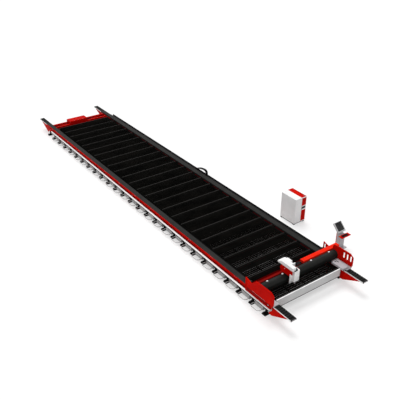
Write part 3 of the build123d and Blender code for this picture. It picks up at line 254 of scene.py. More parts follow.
# Paints: the plain colour, and the worn, fresh and dusty ones that cloud it
paints = {
    "red paint": {
        "colour": (0.516, 0.003, 0.0005), "worn": (0.447, 0.002, 0.0005),
        "fresh": (0.68, 0.009, 0.002), "dust": (0.6, 0.01, 0.004), "rough": (0.32, 0.45),
        "specular": 0.012,
    },
    # red paint lightened as painted highlight, for the lit top of the upper tray and its lids
    "highlight red paint": {
        "colour": (0.88, 0.022, 0.006), "worn": (0.8, 0.016, 0.004), "fresh": (0.92, 0.03, 0.01),
        "rough": (0.3, 0.42), "specular": 0.02,
    },
    # red paint darkened as painted shade: the lower tray, the gear racks, the duct's inner lid, the left
    # plate's lower panel, the door grooves and the cladding slots
    "shaded red paint": {
        "colour": (0.22, 0.002, 0.001), "worn": (0.17, 0.002, 0.001), "rough": (0.4, 0.55),
        "specular": 0.03,
    },
    # red paint darkened further as painted shade: the cross frames under the slats and the stretches on the
    # right beam's inner wall
    "deep shaded red paint": {
        "colour": (0.11, 0.001, 0.004), "worn": (0.08, 0.001, 0.003), "rough": (0.5, 0.65),
        "specular": 0.03,
    },
    "white paint": {
        "colour": (0.87, 0.87, 0.87), "worn": (0.82, 0.82, 0.82), "fresh": (0.9, 0.9, 0.9),
        "dust": (0.78, 0.78, 0.77), "rough": (0.35, 0.5), "specular": 0.3,
    },
    "panel paint": {
        "colour": (0.56, 0.56, 0.56), "worn": (0.52, 0.52, 0.52), "fresh": (0.6, 0.6, 0.6),
        "dust": (0.53, 0.53, 0.52), "rough": (0.3, 0.45), "specular": 0.3,
    },
    "cabinet paint": {
        "colour": (0.87, 0.87, 0.87), "worn": (0.84, 0.84, 0.84), "fresh": (0.9, 0.9, 0.9),
        "dust": (0.8, 0.8, 0.8), "rough": (0.4, 0.55), "specular": 0.3,
    },
    "console paint": {
        "colour": (0.5, 0.49, 0.51), "worn": (0.44, 0.43, 0.45), "rough": (0.35, 0.5),
    },
    "silver paint": {
        "colour": (0.42, 0.4, 0.42), "worn": (0.34, 0.33, 0.34), "rough": (0.3, 0.45), "specular": 0.2,
    },
    "black paint": {
        "colour": (0.012, 0.012, 0.012), "worn": (0.008, 0.008, 0.008), "fresh": (0.02, 0.02, 0.02),
        "dust": (0.025, 0.024, 0.022), "rough": (0.35, 0.5),
    },
    "hood paint": {
        "colour": (0.011, 0.012, 0.011), "worn": (0.008, 0.009, 0.008), "fresh": (0.016, 0.017, 0.016),
        "dust": (0.02, 0.02, 0.019), "rough": (0.32, 0.42), "specular": 0.1,
    },
    "foot paint": {
        "colour": (0.006, 0.006, 0.006), "worn": (0.004, 0.004, 0.004), "dust": (0.012, 0.012, 0.011),
        "rough": (0.5, 0.65), "specular": 0.03,
    },
    # lighter tone for the tops of the module bars: painted highlight
    "bar top highlight paint": {
        "colour": (0.045, 0.042, 0.04), "worn": (0.025, 0.023, 0.022), "dust": (0.06, 0.055, 0.05),
        "rough": (0.5, 0.7), "cloud": 2.6, "specular": 0.05,
    },
    # near black for the module bars, so that their sides read as painted shade
    "bar shade paint": {
        "colour": (0.016, 0.015, 0.014), "worn": (0.01, 0.01, 0.009), "dust": (0.024, 0.022, 0.02),
        "rough": (0.5, 0.7), "cloud": 2.6, "specular": 0.05,
    },
    "cover paint": {
        "colour": (0.022, 0.022, 0.021), "worn": (0.013, 0.013, 0.012), "fresh": (0.032, 0.032, 0.03),
        "dust": (0.036, 0.035, 0.033), "rough": (0.42, 0.58), "specular": 0.04,
    },
    "cart steel": {
        "colour": (0.5, 0.5, 0.5), "worn": (0.34, 0.33, 0.32), "dust": (0.24, 0.22, 0.2),
        "rough": (0.45, 0.65), "specular": 0.2,
    },
}
mats = {name: paint(name, look) for name, look in paints.items()}
mats["rail steel"] = steel("rail steel", {"colour": (0.5, 0.5, 0.5), "dark": (0.32, 0.32, 0.33)})
mats["bolt steel"] = steel("bolt steel", {"colour": (0.42, 0.42, 0.43), "dark": (0.25, 0.25, 0.26),
                                          "stretch": (20, 20, 20), "rough": (0.3, 0.5)})
mats["nozzle copper"] = steel("nozzle copper", {"colour": (0.75, 0.38, 0.2), "dark": (0.5, 0.24, 0.12)})
mats["slat steel"] = burntSteel("slat steel", {
    "colour": (0.0135, 0.0128, 0.0112), "dark": (0.005, 0.005, 0.0046), "rust": (0.016, 0.012, 0.009),
    "spatter": (0.018, 0.017, 0.016), "metal": 0.0, "specular": 0.03})
mats["black plastic"] = plastic("black plastic", {"colour": (0.009, 0.009, 0.01), "specular": 0.04})
mats["red plastic"] = plastic("red plastic", {"colour": (0.6, 0.012, 0.008), "rough": (0.2, 0.3)})
mats["yellow plastic"] = plastic("yellow plastic", {"colour": (0.75, 0.5, 0.03), "rough": (0.25, 0.35)})
mats["grey plastic"] = plastic("grey plastic", {"colour": (0.62, 0.63, 0.64)})
mats["display glass"] = displayGlass("display glass", {
    "colour": (0.03, 0.03, 0.031), "edge": (0.012, 0.012, 0.013), "cloud": 4.0, "specular": 0.15})
print("materials made", len(mats))

# Finish of each CAD node; the loose slag carts take the cart finish
cartFinish = "cart steel"
finishes = {
    "left_side_beam": "red paint",
    "right_side_beam": "red paint",
    "left_rail_cover": "cover paint",
    "right_rail_cover": "cover paint",
    "levelling_feet": "foot paint",
    "cart_rails": "foot paint",
    # painted shade: the cross frames under the slats take the deep shaded red
    "cross_frames": "deep shaded red paint",
    "bed_stringers": "foot paint",
    "support_slats": "slat steel",
    # painted shade: the module bars are painted near black
    "module_bars": "bar shade paint",
    "front_panel": "panel paint",
    "rear_frame": "red paint",
    "side_duct": "white paint",
    "travel_rails": "red paint",
    # painted shade: the racks take the darkened red
    "gear_racks": "shaded red paint",
    "cable_trough": "black paint",
    "cable_chain": "black plastic",
    "far_slag_carts": cartFinish,
    "left_end_plate": "red paint",
    "right_end_plate": "red paint",
    "gantry_beam": "red paint",
    "beam_hood": "hood paint",
    "hood_blocks": "white paint",
    "gantry_trucks": "silver paint",
    "bearing_blocks": "rail steel",
    "drive_motors": "black paint",
    # painted shade: the lower tray takes the darkened red
    "lower_tray": "shaded red paint",
    # painted highlight: the upper tray takes the lightened red
    "upper_tray": "highlight red paint",
    "cross_chain": "black plastic",
    "cross_rails": "rail steel",
    "carriage_frame": "red paint",
    "carriage_cover": "white paint",
    "lift_plate": "white paint",
    "head_housing": "white paint",
    "cutting_head": "black paint",
    "cabinet_body": "cabinet paint",
    "cabinet_door": "cabinet paint",
    "laser_source": "black paint",
    "cabinet_cladding": "red paint",
    "cabinet_feet": "foot paint",
    "console_column": "console paint",
    "monitor_neck": "red paint",
    "monitor": "grey plastic",
    "keyboard_shelf": "red paint",
    "keyboard": "black plastic",
    "stop_button": "red plastic",
}
for nodeName, node in nodes.items():
    node.data.materials.clear()
    node.data.materials.append(mats[finishes.get(nodeName, cartFinish)])
print("finishes set on", len(nodes), "nodes")


# A box from its low to its high corner, its edges rounded by soft
def addBlock(bm, low, high, soft=0.0, coat=0, steps=2):
    size = [b - a for a, b in zip(low, high)]
    middle = [(a + b) / 2 for a, b in zip(low, high)]
    place = Matrix.Translation(middle) @ Matrix.Diagonal((*size, 1))
    verts = bmesh.ops.create_cube(bm, size=1, matrix=place)["verts"]
    for face in {face for vert in verts for face in vert.link_faces}:
        face.material_index = coat
    if soft:
        edges = list({edge for vert in verts for edge in vert.link_edges})
        bmesh.ops.bevel(bm, geom=edges, offset=soft, segments=steps, profile=0.5, affect="EDGES", material=-1)


# A disc, bolt head or cone that stands on place and points along way
def addDisc(bm, place, way, radius, height, sides=24, taper=1.0, coat=0):
    way = Vector(way).normalized()
    turn = way.to_track_quat("Z", "Y").to_matrix().to_4x4()
    middle = Matrix.Translation(Vector(place) + way * height / 2)
    made = bmesh.ops.create_cone(bm, cap_ends=True, segments=sides, radius1=radius, radius2=radius * taper,
                                 depth=height, matrix=middle @ turn)
    for face in {face for vert in made["verts"] for face in vert.link_faces}:
        face.material_index = coat


# Hexagon bolts on round washers, with sizes as shares of the bolt head's radius
boltSet = {"washer": 1.5, "washerHeight": 0.2, "headHeight": 0.8, "headTaper": 0.88}


def addBolts(bm, places, way, radius, coat=0):
    way = Vector(way).normalized()
    lift = radius * boltSet["washerHeight"]
    for place in places:
        addDisc(bm, place, way, radius * boltSet["washer"], lift, sides=16, coat=coat)
        addDisc(bm, Vector(place) + way * lift, way, radius, radius * boltSet["headHeight"],
                sides=6, taper=boltSet["headTaper"], coat=coat)


sharpAngle = 32   # degrees between faces past which an edge stays sharp


# Piece from a bmesh, with its finishes, riding a body of the machine
def finishPiece(name, bm, coats, body, place=None):
    if place:
        bmesh.ops.transform(bm, matrix=place, verts=bm.verts)
    bmesh.ops.recalc_face_normals(bm, faces=bm.faces)
    mesh = bpy.data.meshes.new(name)
    bm.to_mesh(mesh)
    bm.free()
    for coat in coats:
        mesh.materials.append(mats[coat])
    mesh.shade_smooth()
    mesh.set_sharp_from_angle(angle=math.radians(sharpAngle))
    piece = bpy.data.objects.new(name, mesh)
    scene.collection.objects.link(piece)
    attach(piece, body)
    return piece


# Even steps from first to last
def spaced(first, last, count):
    return [first + (last - first) * i / (count - 1) for i in range(count)]


# Low and high of a stretch laid off from the middle to one side
def onSide(side, inner, outer):
    return sorted((side * inner, side * outer))


# What repeats along the bed
bedSet = {"pitch": 1.0, "bays": 25, "firstBar": 13.19}


# Support slats with teeth along their upper edge
slatSet = {
    "teeth": 44, "cut": 0.024, "thickness": 0.006,
    "perBay": 7, "pitch": 0.125,   # slats between two module bars, and the step from one to the next
    "halfBar": 0.022,
    "near": 0.001,                 # a vertex this near an edge of the slat belongs to it
    "slack": 0.01,
}


def makeSlats():
    low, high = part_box("support_slats")
    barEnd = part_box("module_bars")[1][0]
    near, thickness = slatSet["near"], slatSet["thickness"]
    length, height = high[1] - low[1], high[2] - low[2]
    upright = Matrix(((0, 0, 1, 0), (length, 0, 0, 0), (0, height, 0, (low[2] + high[2]) / 2), (0, 0, 0, 1)))
    one = bmesh.new()
    bmesh.ops.create_grid(one, x_segments=4 * slatSet["teeth"] - 2, y_segments=1, size=0.5, matrix=upright)
    upper = sorted((vert for vert in one.verts if vert.co.z > high[2] - near), key=lambda vert: vert.co.y)
    valleys = [vert for i, vert in enumerate(upper) if i % 4 in (2, 3)]   # two on a crest, two in a valley
    bmesh.ops.translate(one, verts=valleys, vec=(0, 0, -slatSet["cut"]))
    lower = [vert for vert in one.verts if vert.co.z < low[2] + near and abs(vert.co.y) < length / 2 - near]
    bmesh.ops.dissolve_faces(one, faces=one.faces[:])
    bmesh.ops.dissolve_verts(one, verts=lower)
    sheet = bmesh.ops.extrude_face_region(one, geom=one.faces[:])["geom"]
    moved = [item for item in sheet if isinstance(item, bmesh.types.BMVert)]
    bmesh.ops.translate(one, verts=moved, vec=(thickness, 0, 0))
    bmesh.ops.translate(one, verts=one.verts, vec=(-thickness / 2, 0, 0))
    pattern = bpy.data.meshes.new("slat pattern")
    one.to_mesh(pattern)
    one.free()
    bm = bmesh.new()
    perBay, pitch = slatSet["perBay"], slatSet["pitch"]
    lineX = barEnd - slatSet["halfBar"]
    while lineX > low[0] + pitch * perBay - slatSet["slack"]:
        for k in range(1, perBay + 1):
            count = len(bm.verts)
            bm.from_mesh(pattern)
            bm.verts.ensure_lookup_table()
            bmesh.ops.translate(bm, verts=bm.verts[count:], vec=(lineX - k * pitch, 0, 0))
        lineX -= bedSet["pitch"]
    bpy.data.meshes.remove(pattern)
    piece = finishPiece("toothed_slats", bm, ["slat steel"], "bed")
    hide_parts("support_slats")


# Red side strips over the skirts of the rail covers, in lengths with a bolt at each end
stripSet = {
    "from": -13.3, "to": 13.42, "low": 0.738, "high": 0.822,
    "length": 2.0, "gap": 0.006, "shortest": 0.1, "thickness": 0.003, "soft": 0.001,
    "off": 0.0002,           # from the cover's skin to the strip
    "bolt": 0.011, "boltInset": 0.06,
}


def makeSideStrips():
    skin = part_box("right_rail_cover")[1][1] + stripSet["off"]
    face = skin + stripSet["thickness"]
    middle = (stripSet["low"] + stripSet["high"]) / 2
    inset = stripSet["boltInset"]
    for side, name in ((-1, "left_side_strips"), (1, "right_side_strips")):
        bm = bmesh.new()
        ys = onSide(side, skin, face)
        x = stripSet["from"]
        while x < stripSet["to"] - stripSet["shortest"]:
            stop = min(x + stripSet["length"], stripSet["to"]) - stripSet["gap"]
            addBlock(bm, (x, ys[0], stripSet["low"]), (stop, ys[1], stripSet["high"]), stripSet["soft"])
            places = [(x + inset, side * face, middle), (stop - inset, side * face, middle)]
            addBolts(bm, places, (0, side, 0), stripSet["bolt"], coat=1)
            x += stripSet["length"]
        finishPiece(name, bm, ["red paint", "bolt steel"], "bed")


# Silver end caps and white edge strips of the overhanging rail covers
overhangSet = {
    "cap": {"from": 0.0006, "to": 0.018, "inset": 0.0045, "low": 0.7645, "high": 0.8255, "soft": 0.003},
    "edge": {"from": 0.04, "to": 1.27, "near": 0.0003, "far": 0.002, "low": 0.742, "high": 0.8,
             "soft": 0.0008},
}


def makeOverhangTrim():
    low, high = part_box("right_rail_cover")
    cap, edge = overhangSet["cap"], overhangSet["edge"]
    bm = bmesh.new()
    for side in (-1, 1):
        inner, outer = onSide(side, low[1] + cap["inset"], high[1] - cap["inset"])
        for x, way in ((high[0], -1), (low[0], 1)):
            xs = sorted((x + way * cap["from"], x + way * cap["to"]))
            addBlock(bm, (xs[0], inner, cap["low"]), (xs[1], outer, cap["high"]), cap["soft"])
            xs = sorted((x + way * edge["from"], x + way * edge["to"]))
            for y, away in ((side * low[1], -side), (side * high[1], side)):
                ys = sorted((y + away * edge["near"], y + away * edge["far"]))
                addBlock(bm, (xs[0], ys[0], edge["low"]), (xs[1], ys[1], edge["high"]), edge["soft"], coat=1)
    finishPiece("overhang_trim", bm, ["silver paint", "white paint"], "bed")


# Duct lids in lengths: a white outer one and a dark red inner one, red clips, and a dark strip over the lower
# part of the duct's side face; the dark strip and the inner lid's darkened red are painted shade
ductSet = {
    "length": 2.0, "gap": 0.008, "shortest": 0.05, "soft": 0.001,
    "lid": 0.003, "innerLid": 0.005, "inner": 0.066, "edge": 0.001, "seam": 0.002,
    "lip": {"height": 0.052, "wall": 0.003},
    "clip": {"from": 0.6, "long": 0.05, "near": 0.004, "far": 0.03, "tall": 0.012, "soft": 0.003},
}


def makeDuctLids():
    low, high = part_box("side_duct")
    edge, soft, lip, clip = ductSet["edge"], ductSet["soft"], ductSet["lip"], ductSet["clip"]
    seamY = high[1] - ductSet["inner"]
    outerTop, innerTop = high[2] + ductSet["lid"], high[2] + ductSet["innerLid"]
    bm = bmesh.new()
    x = low[0]
    while x < high[0] - ductSet["shortest"]:
        stop = min(x + ductSet["length"] - ductSet["gap"], high[0])
        addBlock(bm, (x, low[1] + edge, high[2]), (stop, seamY - ductSet["seam"], outerTop), soft)
        addBlock(bm, (x, seamY, high[2]), (stop, high[1] - edge, innerTop), soft, coat=1)
        # painted shade: a dark strip over the lower part of the duct's side face
        addBlock(bm, (x, low[1] - lip["wall"], low[2]), (stop, low[1], low[2] + lip["height"]), soft, coat=2)
        x += ductSet["length"]
    for i in range(bedSet["bays"]):
        x = high[0] - clip["from"] - i * bedSet["pitch"]
        addBlock(bm, (x, seamY + clip["near"], innerTop),
                 (x + clip["long"], seamY + clip["far"], innerTop + clip["tall"]), clip["soft"], coat=3)
    coats = ["white paint", "shaded red paint", "foot paint", "red paint"]
    finishPiece("duct_lids", bm, coats, "bed")


# Edge plates between the slats and the beams, partly support and partly painted shade laid black over the red
# cross frames' ends, and a black sheet with deep shaded red stretches over the right beam's inner wall, as
# painted shade on the red wall
edgeSet = {
    "level": 0.662, "wall": 0.003, "under": 1.96, "beam": 2.2235,
    "shadeLining": {"off": 0.0005, "above": 0.004, "top": 0.735},
    "stretch": {"from": 0.14, "to": 0.86, "wall": 0.002, "above": 0.006, "top": 0.733},
}


def makeEdgePlates():
    low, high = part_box("support_slats")
    level, wall, shadeLining, stretch = edgeSet["level"], edgeSet["wall"], edgeSet["shadeLining"], edgeSet["stretch"]
    bm = bmesh.new()
    for side in (-1, 1):
        ys = onSide(side, edgeSet["under"], edgeSet["beam"])
        addBlock(bm, (low[0], ys[0], level), (high[0], ys[1], level + wall))
    # painted shade: a black sheet over the red inner wall of the right beam, with deep shaded red stretches
    # between the bars
    wallY = edgeSet["beam"] + shadeLining["off"]
    addBlock(bm, (low[0], wallY, level + shadeLining["above"]), (high[0], wallY + wall, shadeLining["top"]))
    for i in range(bedSet["bays"]):
        x = bedSet["firstBar"] - i * bedSet["pitch"]
        addBlock(bm, (x - stretch["to"], wallY - stretch["wall"], level + stretch["above"]),
                 (x - stretch["from"], wallY, stretch["top"]), coat=1)
    finishPiece("edge_plates", bm, ["foot paint", "deep shaded red paint"], "bed")


# A narrow lighter strip along the top of each module bar, as painted highlight over bars that are painted
# near black as painted shade
barTopSet = {"width": 0.02, "lift": 0.003, "inset": 0.004, "soft": 0.001}


def makeBarTops():
    low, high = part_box("module_bars")
    half, inset = barTopSet["width"] / 2, barTopSet["inset"]
    bm = bmesh.new()
    for i in range(bedSet["bays"] + 1):
        x = bedSet["firstBar"] - i * bedSet["pitch"]
        addBlock(bm, (x - half, low[1] + inset, high[2]),
                 (x + half, high[1] - inset, high[2] + barTopSet["lift"]), barTopSet["soft"], steps=1)
    finishPiece("bar_top_highlights", bm, ["bar top highlight paint"], "bed")


# Black treads between the ribs of the overhanging rail covers
treadSet = {
    "count": 9, "pitch": 0.145, "rib": 0.04, "gap": 0.004, "thickness": 0.004, "soft": 0.0015,
    "ribHeight": 0.008, "inset": 0.004, "endInset": 0.02,
}


def makeTreads():
    low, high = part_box("right_rail_cover")
    bottom = high[2] - treadSet["ribHeight"]
    top = bottom + treadSet["thickness"]
    pitch, beside, endInset = treadSet["pitch"], treadSet["rib"] / 2 + treadSet["gap"], treadSet["endInset"]
    bm = bmesh.new()
    for side in (-1, 1):
        inner, outer = onSide(side, low[1] + treadSet["inset"], high[1] - treadSet["inset"])
        for endX, way in ((high[0], -1), (low[0], 1)):
            for i in range(treadSet["count"]):
                near = max(pitch * (i - 0.5) + beside, endInset)
                far = pitch * (i + 0.5) - beside
                xs = sorted((endX + way * near, endX + way * far))
                addBlock(bm, (xs[0], inner, bottom), (xs[1], outer, top), treadSet["soft"], steps=1)
    finishPiece("overhang_treads", bm, ["foot paint"], "bed")


# Clamp blocks on the foot plates of both beams, and bolts on every foot plate
footSet = {
    "first": 13.0, "last": -12.9, "middle": (10.0, 5.0, 0.0, -5.0, -10.0),
    "length": 0.25, "width": 0.33, "plate": 0.02, "bolt": 0.012, "boltInset": 0.03,
    "block": {"long": 0.19, "near": 0.003, "far": 0.255, "top": 0.1, "soft": 0.004},
}


def addPlateBolts(bm, x, ys):
    reach = footSet["length"] / 2 - footSet["boltInset"]
    places = [(a, b, footSet["plate"]) for a in (x - reach, x + reach) for b in ys]
    addBolts(bm, places, (0, 0, 1), footSet["bolt"])


def makeFootDetails():
    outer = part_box("levelling_feet")[1][1]
    inset, width, block = footSet["boltInset"], footSet["width"], footSet["block"]
    rows = [footSet["first"] - i * bedSet["pitch"] for i in range(bedSet["bays"] + 1)] + [footSet["last"]]
    half = block["long"] / 2
    bm = bmesh.new()
    for x in rows:
        for side in (-1, 1):
            addPlateBolts(bm, x, (side * (outer - inset), side * (outer - width + inset)))
            ys = onSide(side, outer - block["far"], outer - block["near"])
            addBlock(bm, (x - half, ys[0], footSet["plate"]),
                     (x + half, ys[1], block["top"]), block["soft"], coat=1)
    for x in footSet["middle"]:
        addPlateBolts(bm, x, (inset - width / 2, width / 2 - inset))
    finishPiece("foot_fittings", bm, ["bolt steel", "foot paint"], "bed")


# Front panel: a white strip along its top edge as painted highlight, folds and bolts, its left end up to the
# beam, and a dark strip under it as painted shade
panelSet = {
    "lip": 0.003, "wall": 0.003, "soft": 0.001,
    "fold": 0.05, "bottomFold": 0.03,
    "behind": 0.0045,        # from the panel's face back to its folds
    "below": 0.005,
    "bolt": {"radius": 0.01, "inset": 0.04, "low": 0.05, "high": 0.07, "count": 3},
    "wing": 0.195, "wingSoft": 0.003,
    "shadeStrip": {"low": 0.405, "high": 0.499, "near": 0.004, "far": 0.012, "inset": 0.02},
}


def makePanelTrim():
    low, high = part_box("front_panel")
    wall, soft, bolt, shadeStrip = panelSet["wall"], panelSet["soft"], panelSet["bolt"], panelSet["shadeStrip"]
    lipTop = high[2] + panelSet["lip"]
    back = high[0] - panelSet["behind"]
    bm = bmesh.new()
    # painted highlight: a white strip along the top edge of the grey panel
    addBlock(bm, (low[0], low[1], high[2]), (high[0], high[1], lipTop), soft)
    heights = spaced(low[2] + bolt["low"], high[2] - bolt["high"], bolt["count"])
    for side, y in ((1, high[1]), (-1, low[1])):
        ys = sorted((y, y - side * wall))
        addBlock(bm, (high[0] - panelSet["fold"], ys[0], low[2]),
                 (back, ys[1], high[2] - panelSet["below"]), soft, coat=1)
        places = [(high[0], y - side * bolt["inset"], z) for z in heights]
        addBolts(bm, places, (1, 0, 0), bolt["radius"], coat=1)
    addBlock(bm, (high[0] - panelSet["bottomFold"], low[1], low[2]),
             (back, high[1], low[2] + wall), soft, coat=1)
    wingY = low[1] - panelSet["wing"]
    addBlock(bm, (low[0], wingY, low[2]), (high[0], low[1], high[2]), panelSet["wingSoft"], coat=1)
    # painted highlight: the same white strip along the top of the wing
    addBlock(bm, (low[0], wingY, high[2]), (high[0], low[1], lipTop), soft)
    # painted shade: a dark strip under the panel's lower edge
    addBlock(bm, (low[0] + shadeStrip["near"], wingY + shadeStrip["inset"], shadeStrip["low"]),
             (low[0] + shadeStrip["far"], high[1] - shadeStrip["inset"], shadeStrip["high"]), coat=2)
    finishPiece("panel_trim", bm, ["white paint", "panel paint", "foot paint"], "bed")


# Brackets of the bow handles, and the ribs pressed into each pan
cartSet = {
    "first": 12.5, "loose": 14,
    "bow": 0.34,             # how far the bow stands out from the pan
    "bracket": {"near": 0.245, "far": 0.289, "wall": 0.006, "low": 0.12, "high": 0.22, "soft": 0.002},
    "bolt": {"across": 0.267, "heights": (0.137, 0.203), "radius": 0.008},
    "rib": {"count": 9, "inset": 0.4, "half": 0.26, "floor": 0.064, "long": 0.03, "tall": 0.006,
            "soft": 0.0025},
}


def addCart(bm, x):
    low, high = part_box("slag_cart_01")
    bracket, bolt, rib = cartSet["bracket"], cartSet["bolt"], cartSet["rib"]
    frontY = low[1] + cartSet["bow"]
    bracketY = frontY - bracket["wall"]
    for side in (-1, 1):
        xs = sorted((x + side * bracket["near"], x + side * bracket["far"]))
        addBlock(bm, (xs[0], bracketY, bracket["low"]), (xs[1], frontY, bracket["high"]), bracket["soft"])
        places = [(x + side * bolt["across"], bracketY, z) for z in bolt["heights"]]
        addBolts(bm, places, (0, -1, 0), bolt["radius"], coat=1)
    for y in spaced(frontY + rib["inset"], high[1] - rib["inset"], rib["count"]):
        addBlock(bm, (x - rib["half"], y, rib["floor"]),
                 (x + rib["half"], y + rib["long"], rib["floor"] + rib["tall"]), rib["soft"])


def makeCartDetails():
    loose = cartSet["loose"]
    places = [cartSet["first"] - i * bedSet["pitch"] for i in range(bedSet["bays"])]
    for i, x in enumerate(places[:loose]):
        bm = bmesh.new()
        addCart(bm, x)
        name = f"slag_cart_{i + 1:02d}"
        finishPiece(name + "_fittings", bm, ["cart steel", "bolt steel"], name)
    bm = bmesh.new()
    for x in places[loose:]:
        addCart(bm, x)
    finishPiece("far_cart_fittings", bm, ["cart steel", "bolt steel"], "bed")


# Silver strip along the fold of the left end plate as painted highlight, and its knob; a darker red lower
# panel on both plates as painted shade, and bolts on both
plateSet = {
    "wall": 0.012,
    "fold": {"from": 12.06, "to": 13.03, "z": 0.83, "half": 0.005, "wall": 0.004, "soft": 0.0015},
    "knob": {"x": 13.238, "z": 0.753, "off": 0.002, "radius": 0.03, "height": 0.014},
    "panel": {"from": 11.66, "to": 13.4, "low": 0.655, "high": 0.822, "wall": 0.002, "soft": 0.0008},
    "bolt": {"radius": 0.012, "out": 0.05, "below": 0.03, "above": 0.04, "count": 4,
             "ends": (0.97, 1.07, 1.15)},
    "panelBolt": {"radius": 0.0096, "from": 11.72, "to": 13.3, "count": 7, "heights": (0.672, 0.783)},
}


def makePlateTrim():
    beamLow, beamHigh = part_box("gantry_beam")
    fold, knob, panel = plateSet["fold"], plateSet["knob"], plateSet["panel"]
    bolt, small = plateSet["bolt"], plateSet["panelBolt"]
    startX, endX = beamLow[0] - bolt["out"], beamHigh[0] + bolt["out"]
    around = [(x, z) for x in spaced(startX, endX, bolt["count"])
              for z in (beamLow[2] - bolt["below"], beamHigh[2] + bolt["above"])]
    around += [(x, z) for x in (startX, endX) for z in bolt["ends"]]
    rows = [(x, z) for x in spaced(small["from"], small["to"], small["count"]) for z in small["heights"]]
    for side, name in ((-1, "left"), (1, "right")):
        low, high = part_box(name + "_end_plate")
        inner = high[1] if side < 0 else low[1]
        face = inner + side * plateSet["wall"]
        bm = bmesh.new()
        if side < 0:
            # painted highlight: a silver strip along the fold line
            addBlock(bm, (fold["from"], face - fold["wall"], fold["z"] - fold["half"]),
                     (fold["to"], face, fold["z"] + fold["half"]), fold["soft"], coat=1)
            place = (knob["x"], face - knob["off"], knob["z"])
            addDisc(bm, place, (0, -1, 0), knob["radius"], knob["height"], sides=32, taper=0.8, coat=1)
        outside = face + side * panel["wall"]
        ys = sorted((face, outside))
        # painted shade: a darker red panel over the plate's lower part
        addBlock(bm, (panel["from"], ys[0], panel["low"]),
                 (panel["to"], ys[1], panel["high"]), panel["soft"], coat=2)
        addBolts(bm, [(x, face, z) for x, z in around], (0, side, 0), bolt["radius"])
        addBolts(bm, [(x, outside, z) for x, z in rows], (0, side, 0), small["radius"])
        coats = ["red paint", "silver paint", "shaded red paint"]
        finishPiece(name + "_plate_trim", bm, coats, "gantry")


# Hood straps at the sheet joints, the hood's ends up to the end plates, and the blocks' knobs and screws
hoodSet = {
    "strapWidth": 0.04, "lift": 0.002, "wall": 0.0015, "joints": (-1.05, 0.13, 1.31),
    "radius": 0.21, "turn": 90, "steps": 12,
    "plate": 2.597, "clear": 0.0005,
    "blocks": (2.19, 0.93, -0.99, -1.96),
    "knob": {"radius": 0.018, "height": 0.012},
    "screw": {"radius": 0.006, "height": 0.004, "out": 0.034},
}


def addStrap(bm, y, width, lift):
    low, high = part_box("beam_hood")
    top, radius = high[2] + lift, hoodSet["radius"]
    centre = (high[0] - radius, 0, high[2] - radius)
    start = [bm.verts.new((low[0], y, top)), bm.verts.new((low[0], y + width, top))]
    before = set(bm.faces)
    made = bmesh.ops.extrude_edge_only(bm, edges=[bm.edges.new(start)])["geom"]
    turned = [item for item in made if isinstance(item, bmesh.types.BMVert)]
    bmesh.ops.translate(bm, verts=turned, vec=(centre[0] - low[0], 0, 0))
    joint = [edge for edge in bm.edges if edge.verts[0] in turned and edge.verts[1] in turned]
    spun = bmesh.ops.spin(bm, geom=turned + joint, cent=centre, axis=(0, 1, 0),
                          angle=math.radians(hoodSet["turn"]), steps=hoodSet["steps"])["geom_last"]
    last = [item for item in spun if isinstance(item, bmesh.types.BMEdge)]
    made = bmesh.ops.extrude_edge_only(bm, edges=last)["geom"]
    lowest = [item for item in made if isinstance(item, bmesh.types.BMVert)]
    bmesh.ops.translate(bm, verts=lowest, vec=(0, 0, low[2] - centre[2]))
    faces = [face for face in bm.faces if face not in before]
    bmesh.ops.recalc_face_normals(bm, faces=faces)
    bmesh.ops.solidify(bm, geom=faces, thickness=hoodSet["wall"])


def makeHoodTrim():
    low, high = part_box("beam_hood")
    plateY, clear = hoodSet["plate"], hoodSet["clear"]
    bm = bmesh.new()
    for y in hoodSet["joints"]:
        addStrap(bm, y, hoodSet["strapWidth"], hoodSet["lift"])
    addStrap(bm, high[1] + clear, plateY - high[1] - clear, 0)
    addStrap(bm, -plateY, plateY + low[1] - clear, 0)
    finishPiece("hood_trim", bm, ["hood paint"], "gantry")

    low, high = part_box("hood_blocks")
    middle = (low[0] + high[0]) / 2
    knob, screw = hoodSet["knob"], hoodSet["screw"]
    bm = bmesh.new()
    for y in hoodSet["blocks"]:
        addDisc(bm, (middle, y, high[2]), (0, 0, 1), knob["radius"], knob["height"], sides=24, taper=0.9)
        for screwY in (y - screw["out"], y + screw["out"]):
            addDisc(bm, (middle, screwY, high[2]), (0, 0, 1), screw["radius"], screw["height"],
                    sides=12, taper=0.9, coat=1)
    finishPiece("block_knobs", bm, ["white paint", "bolt steel"], "gantry")


# Black block in the pocket of the right truck, as painted shade in the recess, and the bolts of its lid
truckSet = {
    "top": 1.0, "sunk": 0.012, "deep": 0.0595,
    "pocket": ((12.831, 2.146, 12.889, 2.324), (12.889, 2.266, 13.009, 2.324)),   # x, y to x, y
    "bolt": 0.014, "boltX": (12.82, 13.16, 13.5), "boltY": (2.05, 2.42),
}


def makeTruckTrim():
    top = truckSet["top"]
    bm = bmesh.new()
    for x0, y0, x1, y1 in truckSet["pocket"]:
        addBlock(bm, (x0, y0, top - truckSet["deep"]), (x1, y1, top - truckSet["sunk"]), coat=1)
    places = [(x, y, top) for x in truckSet["boltX"] for y in truckSet["boltY"]]
    addBolts(bm, places, (0, 0, 1), truckSet["bolt"])
    finishPiece("truck_trim", bm, ["bolt steel", "black plastic"], "gantry")


# Lids of the upper tray, each with two bolts, in the red lightened as painted highlight
traySet = {
    "lid": 0.003, "length": 0.64, "gap": 0.006, "shortest": 0.01, "inset": 0.003, "soft": 0.001,
    "bolt": 0.006, "boltInset": 0.02, "boltFrom": 0.05,
}


